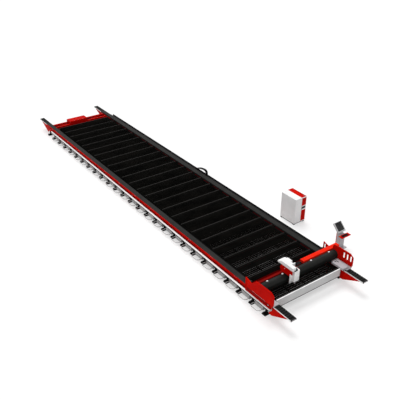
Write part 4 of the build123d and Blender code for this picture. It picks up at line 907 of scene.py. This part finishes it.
def makeTrayLids():
    low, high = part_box("upper_tray")
    inset, boltInset = traySet["inset"], traySet["boltInset"]
    top = high[2] + traySet["lid"]
    bm = bmesh.new()
    y = low[1]
    while y < high[1] - traySet["shortest"]:
        stop = min(y + traySet["length"] - traySet["gap"], high[1])
        addBlock(bm, (low[0] + inset, y, high[2]), (high[0] - inset, stop, top), traySet["soft"])
        places = [(x, y + traySet["boltFrom"], top) for x in (low[0] + boltInset, high[0] - boltInset)]
        addBolts(bm, places, (0, 0, 1), traySet["bolt"], coat=1)
        y += traySet["length"]
    finishPiece("tray_lids", bm, ["highlight red paint", "bolt steel"], "gantry")


# Ribs across the links of the two cable chains
chainSet = {"pitch": 0.1, "rib": 0.022, "lift": 0.004, "ends": 0.02, "sides": 0.004, "bedLevel": 0.664}


def makeChainLinks():
    rib, lift, ends, sides = chainSet["rib"], chainSet["lift"], chainSet["ends"], chainSet["sides"]
    low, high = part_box("cable_chain")
    level = chainSet["bedLevel"]
    bm = bmesh.new()
    x = low[0] + ends
    while x < high[0] - ends:
        addBlock(bm, (x, low[1] + sides, level), (x + rib, high[1] - sides, level + lift))
        x += chainSet["pitch"]
    finishPiece("chain_ribs", bm, ["black plastic"], "bed")

    low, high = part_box("cross_chain")
    bm = bmesh.new()
    y = low[1] + ends
    while y < high[1] - ends:
        addBlock(bm, (low[0] + sides, y, high[2]), (high[0] - sides, y + rib, high[2] + lift))
        y += chainSet["pitch"]
    finishPiece("cross_chain_ribs", bm, ["black plastic"], "gantry")


# Short standing chain between the lower tray and the carriage cover, and the bracket that holds it
riserSet = {
    "low": (11.936, -0.445, 1.2), "high": (11.99, -0.345, 1.76), "links": 11, "soft": 0.006,
    "link": 0.8, "pinFrom": 0.7, "pinTo": 1.05,      # shares of one link's step
    "pinInset": 0.006,
    "bracket": {"low": 1.725, "high": 1.79, "wall": 0.004, "reach": 0.08, "soft": 0.001},
}


def makeRiser():
    (x0, y0, bottom), (x1, y1, top) = riserSet["low"], riserSet["high"]
    inset, bracket = riserSet["pinInset"], riserSet["bracket"]
    step = (top - bottom) / riserSet["links"]
    bm = bmesh.new()
    for i in range(riserSet["links"]):
        z = bottom + i * step
        addBlock(bm, (x0, y0, z), (x1, y1, z + step * riserSet["link"]), riserSet["soft"])
        addBlock(bm, (x0 + inset, y0 + inset, z + step * riserSet["pinFrom"]),
                 (x1 - inset, y1 - inset, z + step * riserSet["pinTo"]))
    addBlock(bm, (x0, y0 - bracket["wall"], bracket["low"]),
             (x1 + bracket["reach"], y0, bracket["high"]), bracket["soft"], coat=1)
    finishPiece("riser_chain", bm, ["black plastic", "bolt steel"], "carriage")


# Screws, plates and slots of the carriage, and the plugs on its head housing
headSet = {
    "dot": {"x": 12.39, "z": 1.596, "radius": 0.024, "height": 0.01},
    "cheekBolt": {"radius": 0.009, "x": (12.32, 12.52, 12.72), "z": (1.375, 1.5)},
    "coverScrew": {"radius": 0.009, "height": 0.004, "from": 12.0, "inset": 0.05, "above": 0.03, "count": 5},
    "frontPlate": {"wall": 0.003, "inset": 0.03, "below": 0.04, "soft": 0.001},
    "frontScrew": {"radius": 0.007, "height": 0.003, "inset": 0.05, "low": 0.06, "high": 0.07, "count": 3},
    "sidePlate": {"wall": 0.003, "left": 0.04, "right": 0.05, "low": 0.06, "high": 0.2, "soft": 0.001},
    "slots": {"count": 6, "from": 0.06, "pitch": 0.018, "inset": 0.06, "wall": 0.004, "height": 0.007,
              "soft": 0.0015},
    # plugs and sockets on the housing and beside the cover: low corner, high corner, rounding
    "plugs": (
        ((12.79, -0.67, 1.71), (12.985, -0.575, 1.755), 0.006),
        ((12.946, -0.795, 1.71), (12.994, -0.67, 1.728), 0.004),
        ((12.66, -0.448, 1.6), (12.72, -0.395, 1.875), 0.01),
        ((12.655, -0.449, 1.56), (12.745, -0.425, 1.7), 0.004),
        ((12.8, -0.565, 1.71), (12.86, -0.53, 1.735), 0.004),
    ),
    "glands": {"places": ((12.84, -0.62, 1.755), (12.92, -0.62, 1.755)), "radius": 0.022, "height": 0.02,
               "nut": 0.016, "nutHeight": 0.018},
    "ball": {"place": (12.82, -0.5), "lift": 0.03, "radius": 0.028, "slack": 0.0005},
}


def addHousingTrim(bm):
    low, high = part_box("head_housing")
    plate, screw = headSet["frontPlate"], headSet["frontScrew"]
    front = high[0] + plate["wall"]
    addBlock(bm, (high[0], low[1] + plate["inset"], low[2] + plate["inset"]),
             (front, high[1] - plate["inset"], high[2] - plate["below"]), plate["soft"])
    for y in (low[1] + screw["inset"], high[1] - screw["inset"]):
        for z in spaced(low[2] + screw["low"], high[2] - screw["high"], screw["count"]):
            addDisc(bm, (front, y, z), (1, 0, 0), screw["radius"], screw["height"],
                    sides=12, taper=0.8, coat=1)
    plate, slots = headSet["sidePlate"], headSet["slots"]
    addBlock(bm, (low[0] + plate["left"], high[1], low[2] + plate["low"]),
             (high[0] - plate["right"], high[1] + plate["wall"], high[2] - plate["high"]), plate["soft"])
    for i in range(slots["count"]):
        z = high[2] - slots["from"] - i * slots["pitch"]
        farY = high[1] + slots["wall"]
        addBlock(bm, (low[0] + slots["inset"], high[1], z),
                 (high[0] - slots["inset"], farY, z + slots["height"]), slots["soft"], coat=3)


def makeCarriageTrim():
    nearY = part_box("carriage_frame")[0][1]
    coverLow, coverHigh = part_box("carriage_cover")
    dot, bolt, screw = headSet["dot"], headSet["cheekBolt"], headSet["coverScrew"]
    bm = bmesh.new()
    place = (dot["x"], nearY, dot["z"])
    addDisc(bm, place, (0, -1, 0), dot["radius"], dot["height"], sides=24, taper=0.85, coat=1)
    addBolts(bm, [(x, nearY, z) for x in bolt["x"] for z in bolt["z"]], (0, -1, 0), bolt["radius"], coat=2)
    for x in spaced(screw["from"], coverHigh[0] - screw["inset"], screw["count"]):
        place = (x, coverLow[1], coverLow[2] + screw["above"])
        addDisc(bm, place, (0, -1, 0), screw["radius"], screw["height"], sides=12, taper=0.8, coat=1)
    addHousingTrim(bm)
    coats = ["white paint", "silver paint", "red paint", "black paint"]
    finishPiece("carriage_trim", bm, coats, "carriage")


def makeHousingFittings():
    glands, ball = headSet["glands"], headSet["ball"]
    bm = bmesh.new()
    for low, high, soft in headSet["plugs"]:
        addBlock(bm, low, high, soft)
    for x, y, z in glands["places"]:
        addDisc(bm, (x, y, z), (0, 0, 1), glands["radius"], glands["height"], sides=24)
        nutZ = z + glands["height"]
        addDisc(bm, (x, y, nutZ), (0, 0, 1), glands["nut"], glands["nutHeight"], sides=6, taper=0.9, coat=1)
    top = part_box("head_housing")[1][2]
    middle = Vector((*ball["place"], top + ball["lift"]))
    bmesh.ops.create_uvsphere(bm, u_segments=20, v_segments=12, radius=ball["radius"],
                              matrix=Matrix.Translation(middle))
    reach = ball["radius"] + ball["slack"]
    for face in {face for vert in bm.verts for face in vert.link_faces if (vert.co - middle).length < reach}:
        face.material_index = 2
    coats = ["black plastic", "bolt steel", "grey plastic"]
    finishPiece("housing_fittings", bm, coats, "carriage")


# Rings, lens drawer and copper nozzle of the cutting head
nozzleSet = {
    "axis": (12.89, -0.635),
    # height, radius, length and coat of each ring: 0 silver, 1 black
    "rings": ((0.92, 0.0432, 0.05, 0), (0.97, 0.0438, 0.008, 1), (0.978, 0.0432, 0.05, 0),
              (1.028, 0.0438, 0.008, 1), (1.036, 0.0432, 0.055, 0)),
    "drawer": {"from": 0.03, "to": 0.062, "half": 0.022, "low": 1.0, "high": 1.028, "soft": 0.004},
    "pull": {"radius": 0.009, "height": 0.012},
    "tip": {"off": 0.0003, "radius": 0.0055, "height": 0.03, "flare": 3.9},
    "nut": {"radius": 0.0222, "height": 0.014},
}


def makeHeadTrim():
    x, y = nozzleSet["axis"]
    drawer, pull, tip, nut = nozzleSet["drawer"], nozzleSet["pull"], nozzleSet["tip"], nozzleSet["nut"]
    bm = bmesh.new()
    for z, radius, height, coat in nozzleSet["rings"]:
        addDisc(bm, (x, y, z), (0, 0, 1), radius, height, sides=40, coat=coat)
    faceX = x + drawer["to"]
    addBlock(bm, (x + drawer["from"], y - drawer["half"], drawer["low"]),
             (faceX, y + drawer["half"], drawer["high"]), drawer["soft"], coat=1)
    middle = (drawer["low"] + drawer["high"]) / 2
    addDisc(bm, (faceX, y, middle), (1, 0, 0), pull["radius"], pull["height"], sides=24, taper=0.9)
    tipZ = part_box("cutting_head")[0][2] + tip["off"]
    addDisc(bm, (x, y, tipZ), (0, 0, 1), tip["radius"], tip["height"], sides=32, taper=tip["flare"], coat=2)
    addDisc(bm, (x, y, tipZ + tip["height"]), (0, 0, 1), nut["radius"], nut["height"], sides=6, coat=2)
    finishPiece("head_rings", bm, ["silver paint", "black plastic", "nozzle copper"], "head")


# Cooling fins, cap and plug of each drive motor
motorSet = {
    "inset": 0.075,
    "fin": {"count": 5, "from": 0.07, "pitch": 0.028, "radius": 0.063, "height": 0.008},
    "cap": {"radius": 0.05, "height": 0.006},
    "plug": {"far": 0.09, "near": 0.05, "half": 0.03, "from": 0.05, "to": 0.005, "soft": 0.006},
}


def makeMotorTrim():
    low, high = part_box("drive_motors")
    fin, cap, plug = motorSet["fin"], motorSet["cap"], motorSet["plug"]
    x = (low[0] + high[0]) / 2
    bm = bmesh.new()
    for y in (low[1] + motorSet["inset"], high[1] - motorSet["inset"]):
        for i in range(fin["count"]):
            z = low[2] + fin["from"] + i * fin["pitch"]
            addDisc(bm, (x, y, z), (0, 0, 1), fin["radius"], fin["height"], sides=40)
        addBlock(bm, (x - plug["far"], y - plug["half"], high[2] - plug["from"]),
                 (x - plug["near"], y + plug["half"], high[2] - plug["to"]), plug["soft"])
        addDisc(bm, (x, y, high[2]), (0, 0, 1), cap["radius"], cap["height"], sides=40, taper=0.9)
    finishPiece("motor_trim", bm, ["black paint"], "gantry")


# Bolts of the rear frame: across its raised box, along the box's top, and at its corners
rearSet = {
    "box": (-0.93, 0.57), "bolt": 0.01,
    "face": {"inset": 0.05, "count": 6, "below": 0.03},
    "top": {"inset": 0.04, "count": 5},
    "corner": {"y": 2.15, "z": 0.7, "inset": 0.07, "bolt": 0.012},
}


def makeRearTrim():
    low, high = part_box("rear_frame")
    face, top, corner = rearSet["face"], rearSet["top"], rearSet["corner"]
    startY, endY = rearSet["box"]
    bm = bmesh.new()
    places = [(high[0], y, high[2] - face["below"])
              for y in spaced(startY + face["inset"], endY - face["inset"], face["count"])]
    addBolts(bm, places, (1, 0, 0), rearSet["bolt"])
    places = [(x, y, high[2]) for x in (low[0] + top["inset"], high[0] - top["inset"])
              for y in spaced(startY + top["inset"], endY - top["inset"], top["count"])]
    addBolts(bm, places, (0, 0, 1), rearSet["bolt"])
    places = [(x, side * corner["y"], corner["z"]) for side in (-1, 1)
              for x in (high[0] - corner["inset"], low[0] + corner["inset"])]
    addBolts(bm, places, (0, 0, 1), corner["bolt"])
    finishPiece("rear_bolts", bm, ["bolt steel"], "bed")


# Power cabinet: plinth, corner pads, louvres and sheet panels on its near side
cabinetSet = {
    "nearY": 4.0,
    "plinth": {"side": 0.012, "front": 0.002, "low": 0.036, "gap": 0.0005, "soft": 0.004},
    "pad": {"size": 0.12, "inset": 0.01, "low": 0.001, "high": 0.06, "soft": 0.01},
    "louvre": {"count": 9, "from": 0.2, "pitch": 0.028, "height": 0.01, "x": (7.1, 7.5), "wall": 0.004,
               "soft": 0.002},
    "panels": (((6.86, 0.56), (7.39, 1.66)), ((7.42, 0.56), (7.96, 1.66)),
               ((6.86, 0.12), (7.05, 0.53)), ((7.55, 0.12), (7.96, 0.53))),   # x, z to x, z
    "panelWall": 0.003, "panelSoft": 0.0012,
}


def makeCabinetTrim():
    low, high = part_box("cabinet_body")
    nearY = cabinetSet["nearY"]
    plinth, pad, louvre = cabinetSet["plinth"], cabinetSet["pad"], cabinetSet["louvre"]
    bm = bmesh.new()
    addBlock(bm, (low[0] + plinth["side"], nearY + plinth["side"], plinth["low"]),
             (high[0] - plinth["front"], high[1] - plinth["side"], low[2] - plinth["gap"]), plinth["soft"])
    size, inset = pad["size"], pad["inset"]
    for x in (low[0] + inset, high[0] - size):
        for y in (nearY + inset, high[1] - inset - size):
            addBlock(bm, (x, y, pad["low"]), (x + size, y + size, pad["high"]), pad["soft"])
    startX, endX = louvre["x"]
    for i in range(louvre["count"]):
        z = louvre["from"] + i * louvre["pitch"]
        addBlock(bm, (startX, nearY - louvre["wall"], z),
                 (endX, nearY, z + louvre["height"]), louvre["soft"], coat=1)
    for (x0, z0), (x1, z1) in cabinetSet["panels"]:
        addBlock(bm, (x0, nearY - cabinetSet["panelWall"], z0),
                 (x1, nearY, z1), cabinetSet["panelSoft"], coat=1)
    finishPiece("cabinet_trim", bm, ["black paint", "cabinet paint"], "bed")


# Red panels with a groove darkened as painted shade, display and handle on the cabinet's door
doorSet = {
    "redFrom": 4.5, "edge": 0.008,
    "bands": ((0.13, 0.86), (1.15, 1.66)), "bandBack": 0.002, "bandFront": 0.004, "soft": 0.002,
    "groove": {"half": 0.012, "inset": 0.03, "from": 0.003, "to": 0.0055, "soft": 0.001},
    "display": {"y": (4.56, 4.8), "z": (0.95, 1.08), "from": 0.003, "to": 0.006, "soft": 0.001},
    "frame": {"width": 0.02, "back": 0.001, "front": 0.004},
    "handle": {"y": 4.52, "z": (0.9, 1.12), "half": 0.014, "wall": 0.012, "soft": 0.004},
    "grip": {"half": 0.009, "to": 0.026, "below": 0.06, "above": 0.02},
}


def makeDoorTrim():
    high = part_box("cabinet_door")[1]
    face, redFrom, redTo = high[0], doorSet["redFrom"], high[1] - doorSet["edge"]
    groove, display, rim = doorSet["groove"], doorSet["display"], doorSet["frame"]
    bm = bmesh.new()
    for z0, z1 in doorSet["bands"]:
        addBlock(bm, (face - doorSet["bandBack"], redFrom, z0), (face + doorSet["bandFront"], redTo, z1),
                 doorSet["soft"])
    middleY = (redFrom + high[1]) / 2
    half, inset = groove["half"], groove["inset"]
    # painted shade: the groove is a raised strip in darkened red
    for z0, z1 in doorSet["bands"]:
        addBlock(bm, (face + groove["from"], middleY - half, z0 + inset),
                 (face + groove["to"], middleY + half, z1 - inset), groove["soft"], coat=1)
    (y0, y1), (z0, z1), width = display["y"], display["z"], rim["width"]
    addBlock(bm, (face - rim["back"], y0 - width, z0 - width),
             (face + rim["front"], y1 + width, z1 + width), doorSet["soft"], coat=2)
    addBlock(bm, (face + display["from"], y0, z0), (face + display["to"], y1, z1), display["soft"], coat=3)
    handle, grip = doorSet["handle"], doorSet["grip"]
    y, (z0, z1) = handle["y"], handle["z"]
    addBlock(bm, (face, y - handle["half"], z0),
             (face + handle["wall"], y + handle["half"], z1), handle["soft"], coat=4)
    addBlock(bm, (face + handle["wall"], y - grip["half"], z0 + grip["below"]),
             (face + grip["to"], y + grip["half"], z1 - grip["above"]), handle["soft"], coat=4)
    coats = ["red paint", "shaded red paint", "silver paint", "display glass", "black plastic"]
    finishPiece("door_trim", bm, coats, "door")


# Slots darkened as painted shade and an outlet on top of the red cladding, and louvres down its far side
claddingSet = {
    "slot": {"x": (6.95, 7.3, 7.65), "long": 0.1, "far": 0.05, "near": 0.005, "lift": 0.003, "soft": 0.001},
    "outlet": {"x": 7.86, "inset": 0.06, "radius": 0.035, "height": 0.03},
    "louvre": {"count": 14, "from": 0.3, "pitch": 0.03, "height": 0.012, "x": (7.2, 7.7), "wall": 0.004,
               "soft": 0.002},
}


def makeCladdingTrim():
    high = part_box("cabinet_cladding")[1]
    slot, outlet, louvre = claddingSet["slot"], claddingSet["outlet"], claddingSet["louvre"]
    bm = bmesh.new()
    for x in slot["x"]:
        addBlock(bm, (x, high[1] - slot["far"], high[2]),
                 (x + slot["long"], high[1] - slot["near"], high[2] + slot["lift"]), slot["soft"])
    place = (outlet["x"], high[1] - outlet["inset"], high[2])
    addDisc(bm, place, (0, 0, 1), outlet["radius"], outlet["height"], sides=24, taper=0.7, coat=1)
    startX, endX = louvre["x"]
    for i in range(louvre["count"]):
        z = louvre["from"] + i * louvre["pitch"]
        addBlock(bm, (startX, high[1], z),
                 (endX, high[1] + louvre["wall"], z + louvre["height"]), louvre["soft"], coat=2)
    finishPiece("cladding_trim", bm, ["shaded red paint", "silver paint", "red paint"], "bed")


# Monitor: bezel round the display, row of buttons, back lid and its louvres, laid out flat and then tilted
monitorSet = {
    "hinge": (10.855, 4.54, 1.11), "tilt": 45,
    "half": (0.28, 0.305), "front": 0.15,            # from the hinge to the front of the monitor
    "display": {"low": (-0.235, -0.215), "high": (0.235, 0.285), "half": 0.002, "soft": 0.001},
    "bezel": {"back": 0.001, "height": 0.008, "soft": 0.003},
    "button": {"count": 5, "from": -0.12, "pitch": 0.06, "radius": 0.012, "height": 0.004},
    "lid": {"low": (-0.22, -0.24, 0.052), "high": (0.22, 0.24, 0.0605), "soft": 0.004},
    "louvre": {"count": 12, "from": -0.2, "pitch": 0.024, "height": 0.009, "soft": 0.002,
               "x": (0.08, 0.2), "z": (0.048, 0.054)},
}


def makeMonitorTrim():
    front, (w, h) = monitorSet["front"], monitorSet["half"]
    display, bezel, button = monitorSet["display"], monitorSet["bezel"], monitorSet["button"]
    (x0, y0), (x1, y1) = display["low"], display["high"]
    bm = bmesh.new()
    addBlock(bm, (x0, y0, front - display["half"]),
             (x1, y1, front + display["half"]), display["soft"], coat=1)
    top = front + bezel["height"]
    for a, b in (((-w, -h), (w, y0)), ((-w, y1), (w, h)), ((-w, y0), (x0, y1)), ((x1, y0), (w, y1))):
        addBlock(bm, (*a, front - bezel["back"]), (*b, top), bezel["soft"])
    for i in range(button["count"]):
        place = (button["from"] + i * button["pitch"], (y0 - h) / 2, top)
        addDisc(bm, place, (0, 0, 1), button["radius"], button["height"],
                sides=20, taper=0.9, coat=2 if i else 3)   # the first button is red
    lid, louvre = monitorSet["lid"], monitorSet["louvre"]
    addBlock(bm, lid["low"], lid["high"], lid["soft"])
    (startX, endX), (bottom, above) = louvre["x"], louvre["z"]
    for i in range(louvre["count"]):
        y = louvre["from"] + i * louvre["pitch"]
        addBlock(bm, (startX, y, bottom), (endX, y + louvre["height"], above), louvre["soft"], coat=2)
    # the flat layout's x runs along +Y, its y up the tilted screen, its z out of the screen
    up, out = math.cos(math.radians(monitorSet["tilt"])), math.sin(math.radians(monitorSet["tilt"]))
    x, y, z = monitorSet["hinge"]
    slant = Matrix(((0, -up, out, x), (1, 0, 0, y), (0, up, out, z), (0, 0, 0, 1)))
    coats = ["grey plastic", "display glass", "black plastic", "red plastic"]
    finishPiece("monitor_trim", bm, coats, "screen", slant)


# Keys of the keyboard
keySet = {
    "rows": 6, "columns": 19, "pitch": 0.0225, "gap": 0.004,
    "height": 0.006, "sunk": 0.001, "soft": 0.002,
}


def makeKeys():
    low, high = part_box("keyboard")
    rows, columns, pitch = keySet["rows"], keySet["columns"], keySet["pitch"]
    startX = (low[0] + high[0] - rows * pitch) / 2
    startY = (low[1] + high[1] - columns * pitch) / 2
    size = pitch - keySet["gap"]
    bottom, top = high[2] - keySet["sunk"], high[2] + keySet["height"]
    bm = bmesh.new()
    for row in range(rows):
        for column in range(columns):
            x, y = startX + row * pitch, startY + column * pitch
            addBlock(bm, (x, y, bottom), (x + size, y + size, top), keySet["soft"], steps=1)
    finishPiece("keyboard_keys", bm, ["black plastic"], "shelf")


# Yellow collar round the stop button's cap, wide enough for the cap to sink into
collarSet = {"level": 0.8805, "height": 0.004, "clear": 0.0015, "width": 0.008, "wall": 0.0004}


def makeStopCollar():
    low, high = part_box("stop_button")
    x, y = (low[0] + high[0]) / 2, (low[1] + high[1]) / 2
    innerRadius = (high[0] - low[0]) / 2 + collarSet["clear"]
    outerRadius = innerRadius + collarSet["width"]
    place = Matrix.Translation((x, y, collarSet["level"]))
    bm = bmesh.new()
    bmesh.ops.create_circle(bm, cap_ends=False, segments=40, radius=outerRadius, matrix=place)
    grown = bmesh.ops.extrude_edge_only(bm, edges=bm.edges[:])["geom"]
    verts = [item for item in grown if isinstance(item, bmesh.types.BMVert)]
    bmesh.ops.translate(bm, verts=verts, vec=(0, 0, collarSet["height"]))
    rim = [item for item in grown if isinstance(item, bmesh.types.BMEdge) and item.is_boundary]
    grown = bmesh.ops.extrude_edge_only(bm, edges=rim)["geom"]
    verts = [item for item in grown if isinstance(item, bmesh.types.BMVert)]
    squeeze = Matrix.Diagonal((innerRadius / outerRadius, innerRadius / outerRadius, 1, 1))
    bmesh.ops.transform(bm, matrix=squeeze, verts=verts, space=Matrix.Translation((-x, -y, 0)))
    bmesh.ops.solidify(bm, geom=bm.faces[:], thickness=collarSet["wall"])
    finishPiece("stop_collar", bm, ["yellow plastic"], "shelf")


# Door plate and lock, base bolts, louvres and red corner strip of the console's column
columnSet = {
    "door": {"low": (11.23, 4.39, 0.08), "high": (11.233, 4.69, 0.79), "soft": 0.001},
    "lock": {"place": (11.233, 4.665, 0.45), "radius": 0.012, "height": 0.006},
    "bolt": {"radius": 0.011, "inset": 0.05, "level": 0.02},
    "louvre": {"count": 8, "from": 0.12, "pitch": 0.022, "height": 0.009, "soft": 0.0015,
               "x": (11.04, 11.18), "y": (4.346, 4.35)},
    "strip": {"low": (10.967, 4.347, 0.03), "high": (11.0, 4.36, 0.85), "soft": 0.001},
}


def makeColumnTrim():
    low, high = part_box("console_column")
    door, lock, bolt = columnSet["door"], columnSet["lock"], columnSet["bolt"]
    louvre, strip = columnSet["louvre"], columnSet["strip"]
    bm = bmesh.new()
    addBlock(bm, door["low"], door["high"], door["soft"])
    addDisc(bm, lock["place"], (1, 0, 0), lock["radius"], lock["height"], sides=24, taper=0.85, coat=1)
    corners = [(x, y, bolt["level"]) for x in (low[0] + bolt["inset"], high[0] - bolt["inset"])
               for y in (low[1] + bolt["inset"], high[1] - bolt["inset"])]
    addBolts(bm, corners, (0, 0, 1), bolt["radius"], coat=1)
    (startX, endX), (startY, endY) = louvre["x"], louvre["y"]
    for i in range(louvre["count"]):
        z = louvre["from"] + i * louvre["pitch"]
        addBlock(bm, (startX, startY, z), (endX, endY, z + louvre["height"]), louvre["soft"], coat=1)
    addBlock(bm, strip["low"], strip["high"], strip["soft"], coat=2)
    finishPiece("column_trim", bm, ["console paint", "bolt steel", "red paint"], "bed")


makeSlats()
makeSideStrips()
makeOverhangTrim()
makeDuctLids()
makeEdgePlates()
makeBarTops()
makeTreads()
makeFootDetails()
makePanelTrim()
makeCartDetails()
makeRearTrim()
print("bed pieces made")
makePlateTrim()
makeHoodTrim()
makeTruckTrim()
makeTrayLids()
makeChainLinks()
makeRiser()
makeCarriageTrim()
makeHousingFittings()
makeHeadTrim()
makeMotorTrim()
print("gantry pieces made")
makeCabinetTrim()
makeDoorTrim()
makeCladdingTrim()
makeMonitorTrim()
makeKeys()
makeStopCollar()
makeColumnTrim()
print("cabinet and console pieces made")

# Floor and light
floorSet = {"size": 400.0, "albedo": 0.8, "seenAlbedo": 0.5, "glow": 0.5}
lightSet = {
    "sky": 0.36,
    "key": {"strength": 2.1, "angle": 35, "travels": (0.38, -0.12, -0.9)},
    "fill": {"strength": 0.9, "angle": 80, "travels": (-0.42, 0.62, -0.5)},
}


# 1 on rays from the camera and on rays that glossy and clear surfaces send
def backdropRays(tree):
    path = tree.nodes.new("ShaderNodeLightPath")
    total = path.outputs["Is Camera Ray"]
    for name in ("Is Glossy Ray", "Is Transmission Ray"):
        either = tree.nodes.new("ShaderNodeMath")
        either.operation = "MAXIMUM"
        tree.links.new(total, either.inputs[0])
        tree.links.new(path.outputs[name], either.inputs[1])
        total = either.outputs[0]
    return total


def makeFloor():
    bm = bmesh.new()
    bmesh.ops.create_grid(bm, x_segments=1, y_segments=1, size=floorSet["size"] / 2)
    mesh = bpy.data.meshes.new("floor")
    bm.to_mesh(mesh)
    bm.free()
    floor = bpy.data.objects.new("floor", mesh)
    scene.collection.objects.link(floor)
    mat = bpy.data.materials.new("floor")
    mat.use_nodes = True
    tree = mat.node_tree
    tree.nodes.remove(tree.nodes["Principled BSDF"])
    out = tree.nodes["Material Output"]
    plain = tree.nodes.new("ShaderNodeBsdfDiffuse")
    plain.inputs["Color"].default_value = (*[floorSet["albedo"]] * 3, 1)
    seen = tree.nodes.new("ShaderNodeBsdfDiffuse")
    seen.inputs["Color"].default_value = (*[floorSet["seenAlbedo"]] * 3, 1)
    glow = tree.nodes.new("ShaderNodeEmission")
    glow.inputs["Strength"].default_value = floorSet["glow"]
    both = tree.nodes.new("ShaderNodeAddShader")
    tree.links.new(seen.outputs[0], both.inputs[0])
    tree.links.new(glow.outputs[0], both.inputs[1])
    mix = tree.nodes.new("ShaderNodeMixShader")
    tree.links.new(backdropRays(tree), mix.inputs[0])
    tree.links.new(plain.outputs[0], mix.inputs[1])
    tree.links.new(both.outputs[0], mix.inputs[2])
    tree.links.new(mix.outputs[0], out.inputs["Surface"])
    mesh.materials.append(mat)


def makeLight():
    world = bpy.data.worlds.new("studio")
    scene.world = world
    world.use_nodes = True
    tree = world.node_tree
    sky = tree.nodes["Background"]
    sky.inputs["Color"].default_value = (1, 1, 1, 1)
    sky.inputs["Strength"].default_value = lightSet["sky"]
    white = tree.nodes.new("ShaderNodeBackground")
    white.inputs["Color"].default_value = (1, 1, 1, 1)
    white.inputs["Strength"].default_value = 1
    mix = tree.nodes.new("ShaderNodeMixShader")
    tree.links.new(backdropRays(tree), mix.inputs[0])
    tree.links.new(sky.outputs[0], mix.inputs[1])
    tree.links.new(white.outputs[0], mix.inputs[2])
    tree.links.new(mix.outputs[0], tree.nodes["World Output"].inputs["Surface"])
    for name in ("key", "fill"):
        look = lightSet[name]
        lamp = bpy.data.lights.new(name, "SUN")
        lamp.energy = look["strength"]
        lamp.angle = math.radians(look["angle"])
        sun = bpy.data.objects.new(name, lamp)
        scene.collection.objects.link(sun)
        sun.rotation_mode = "QUATERNION"
        sun.rotation_quaternion = Vector(look["travels"]).to_track_quat("-Z", "Y")


makeFloor()
makeLight()
print("floor and light made")
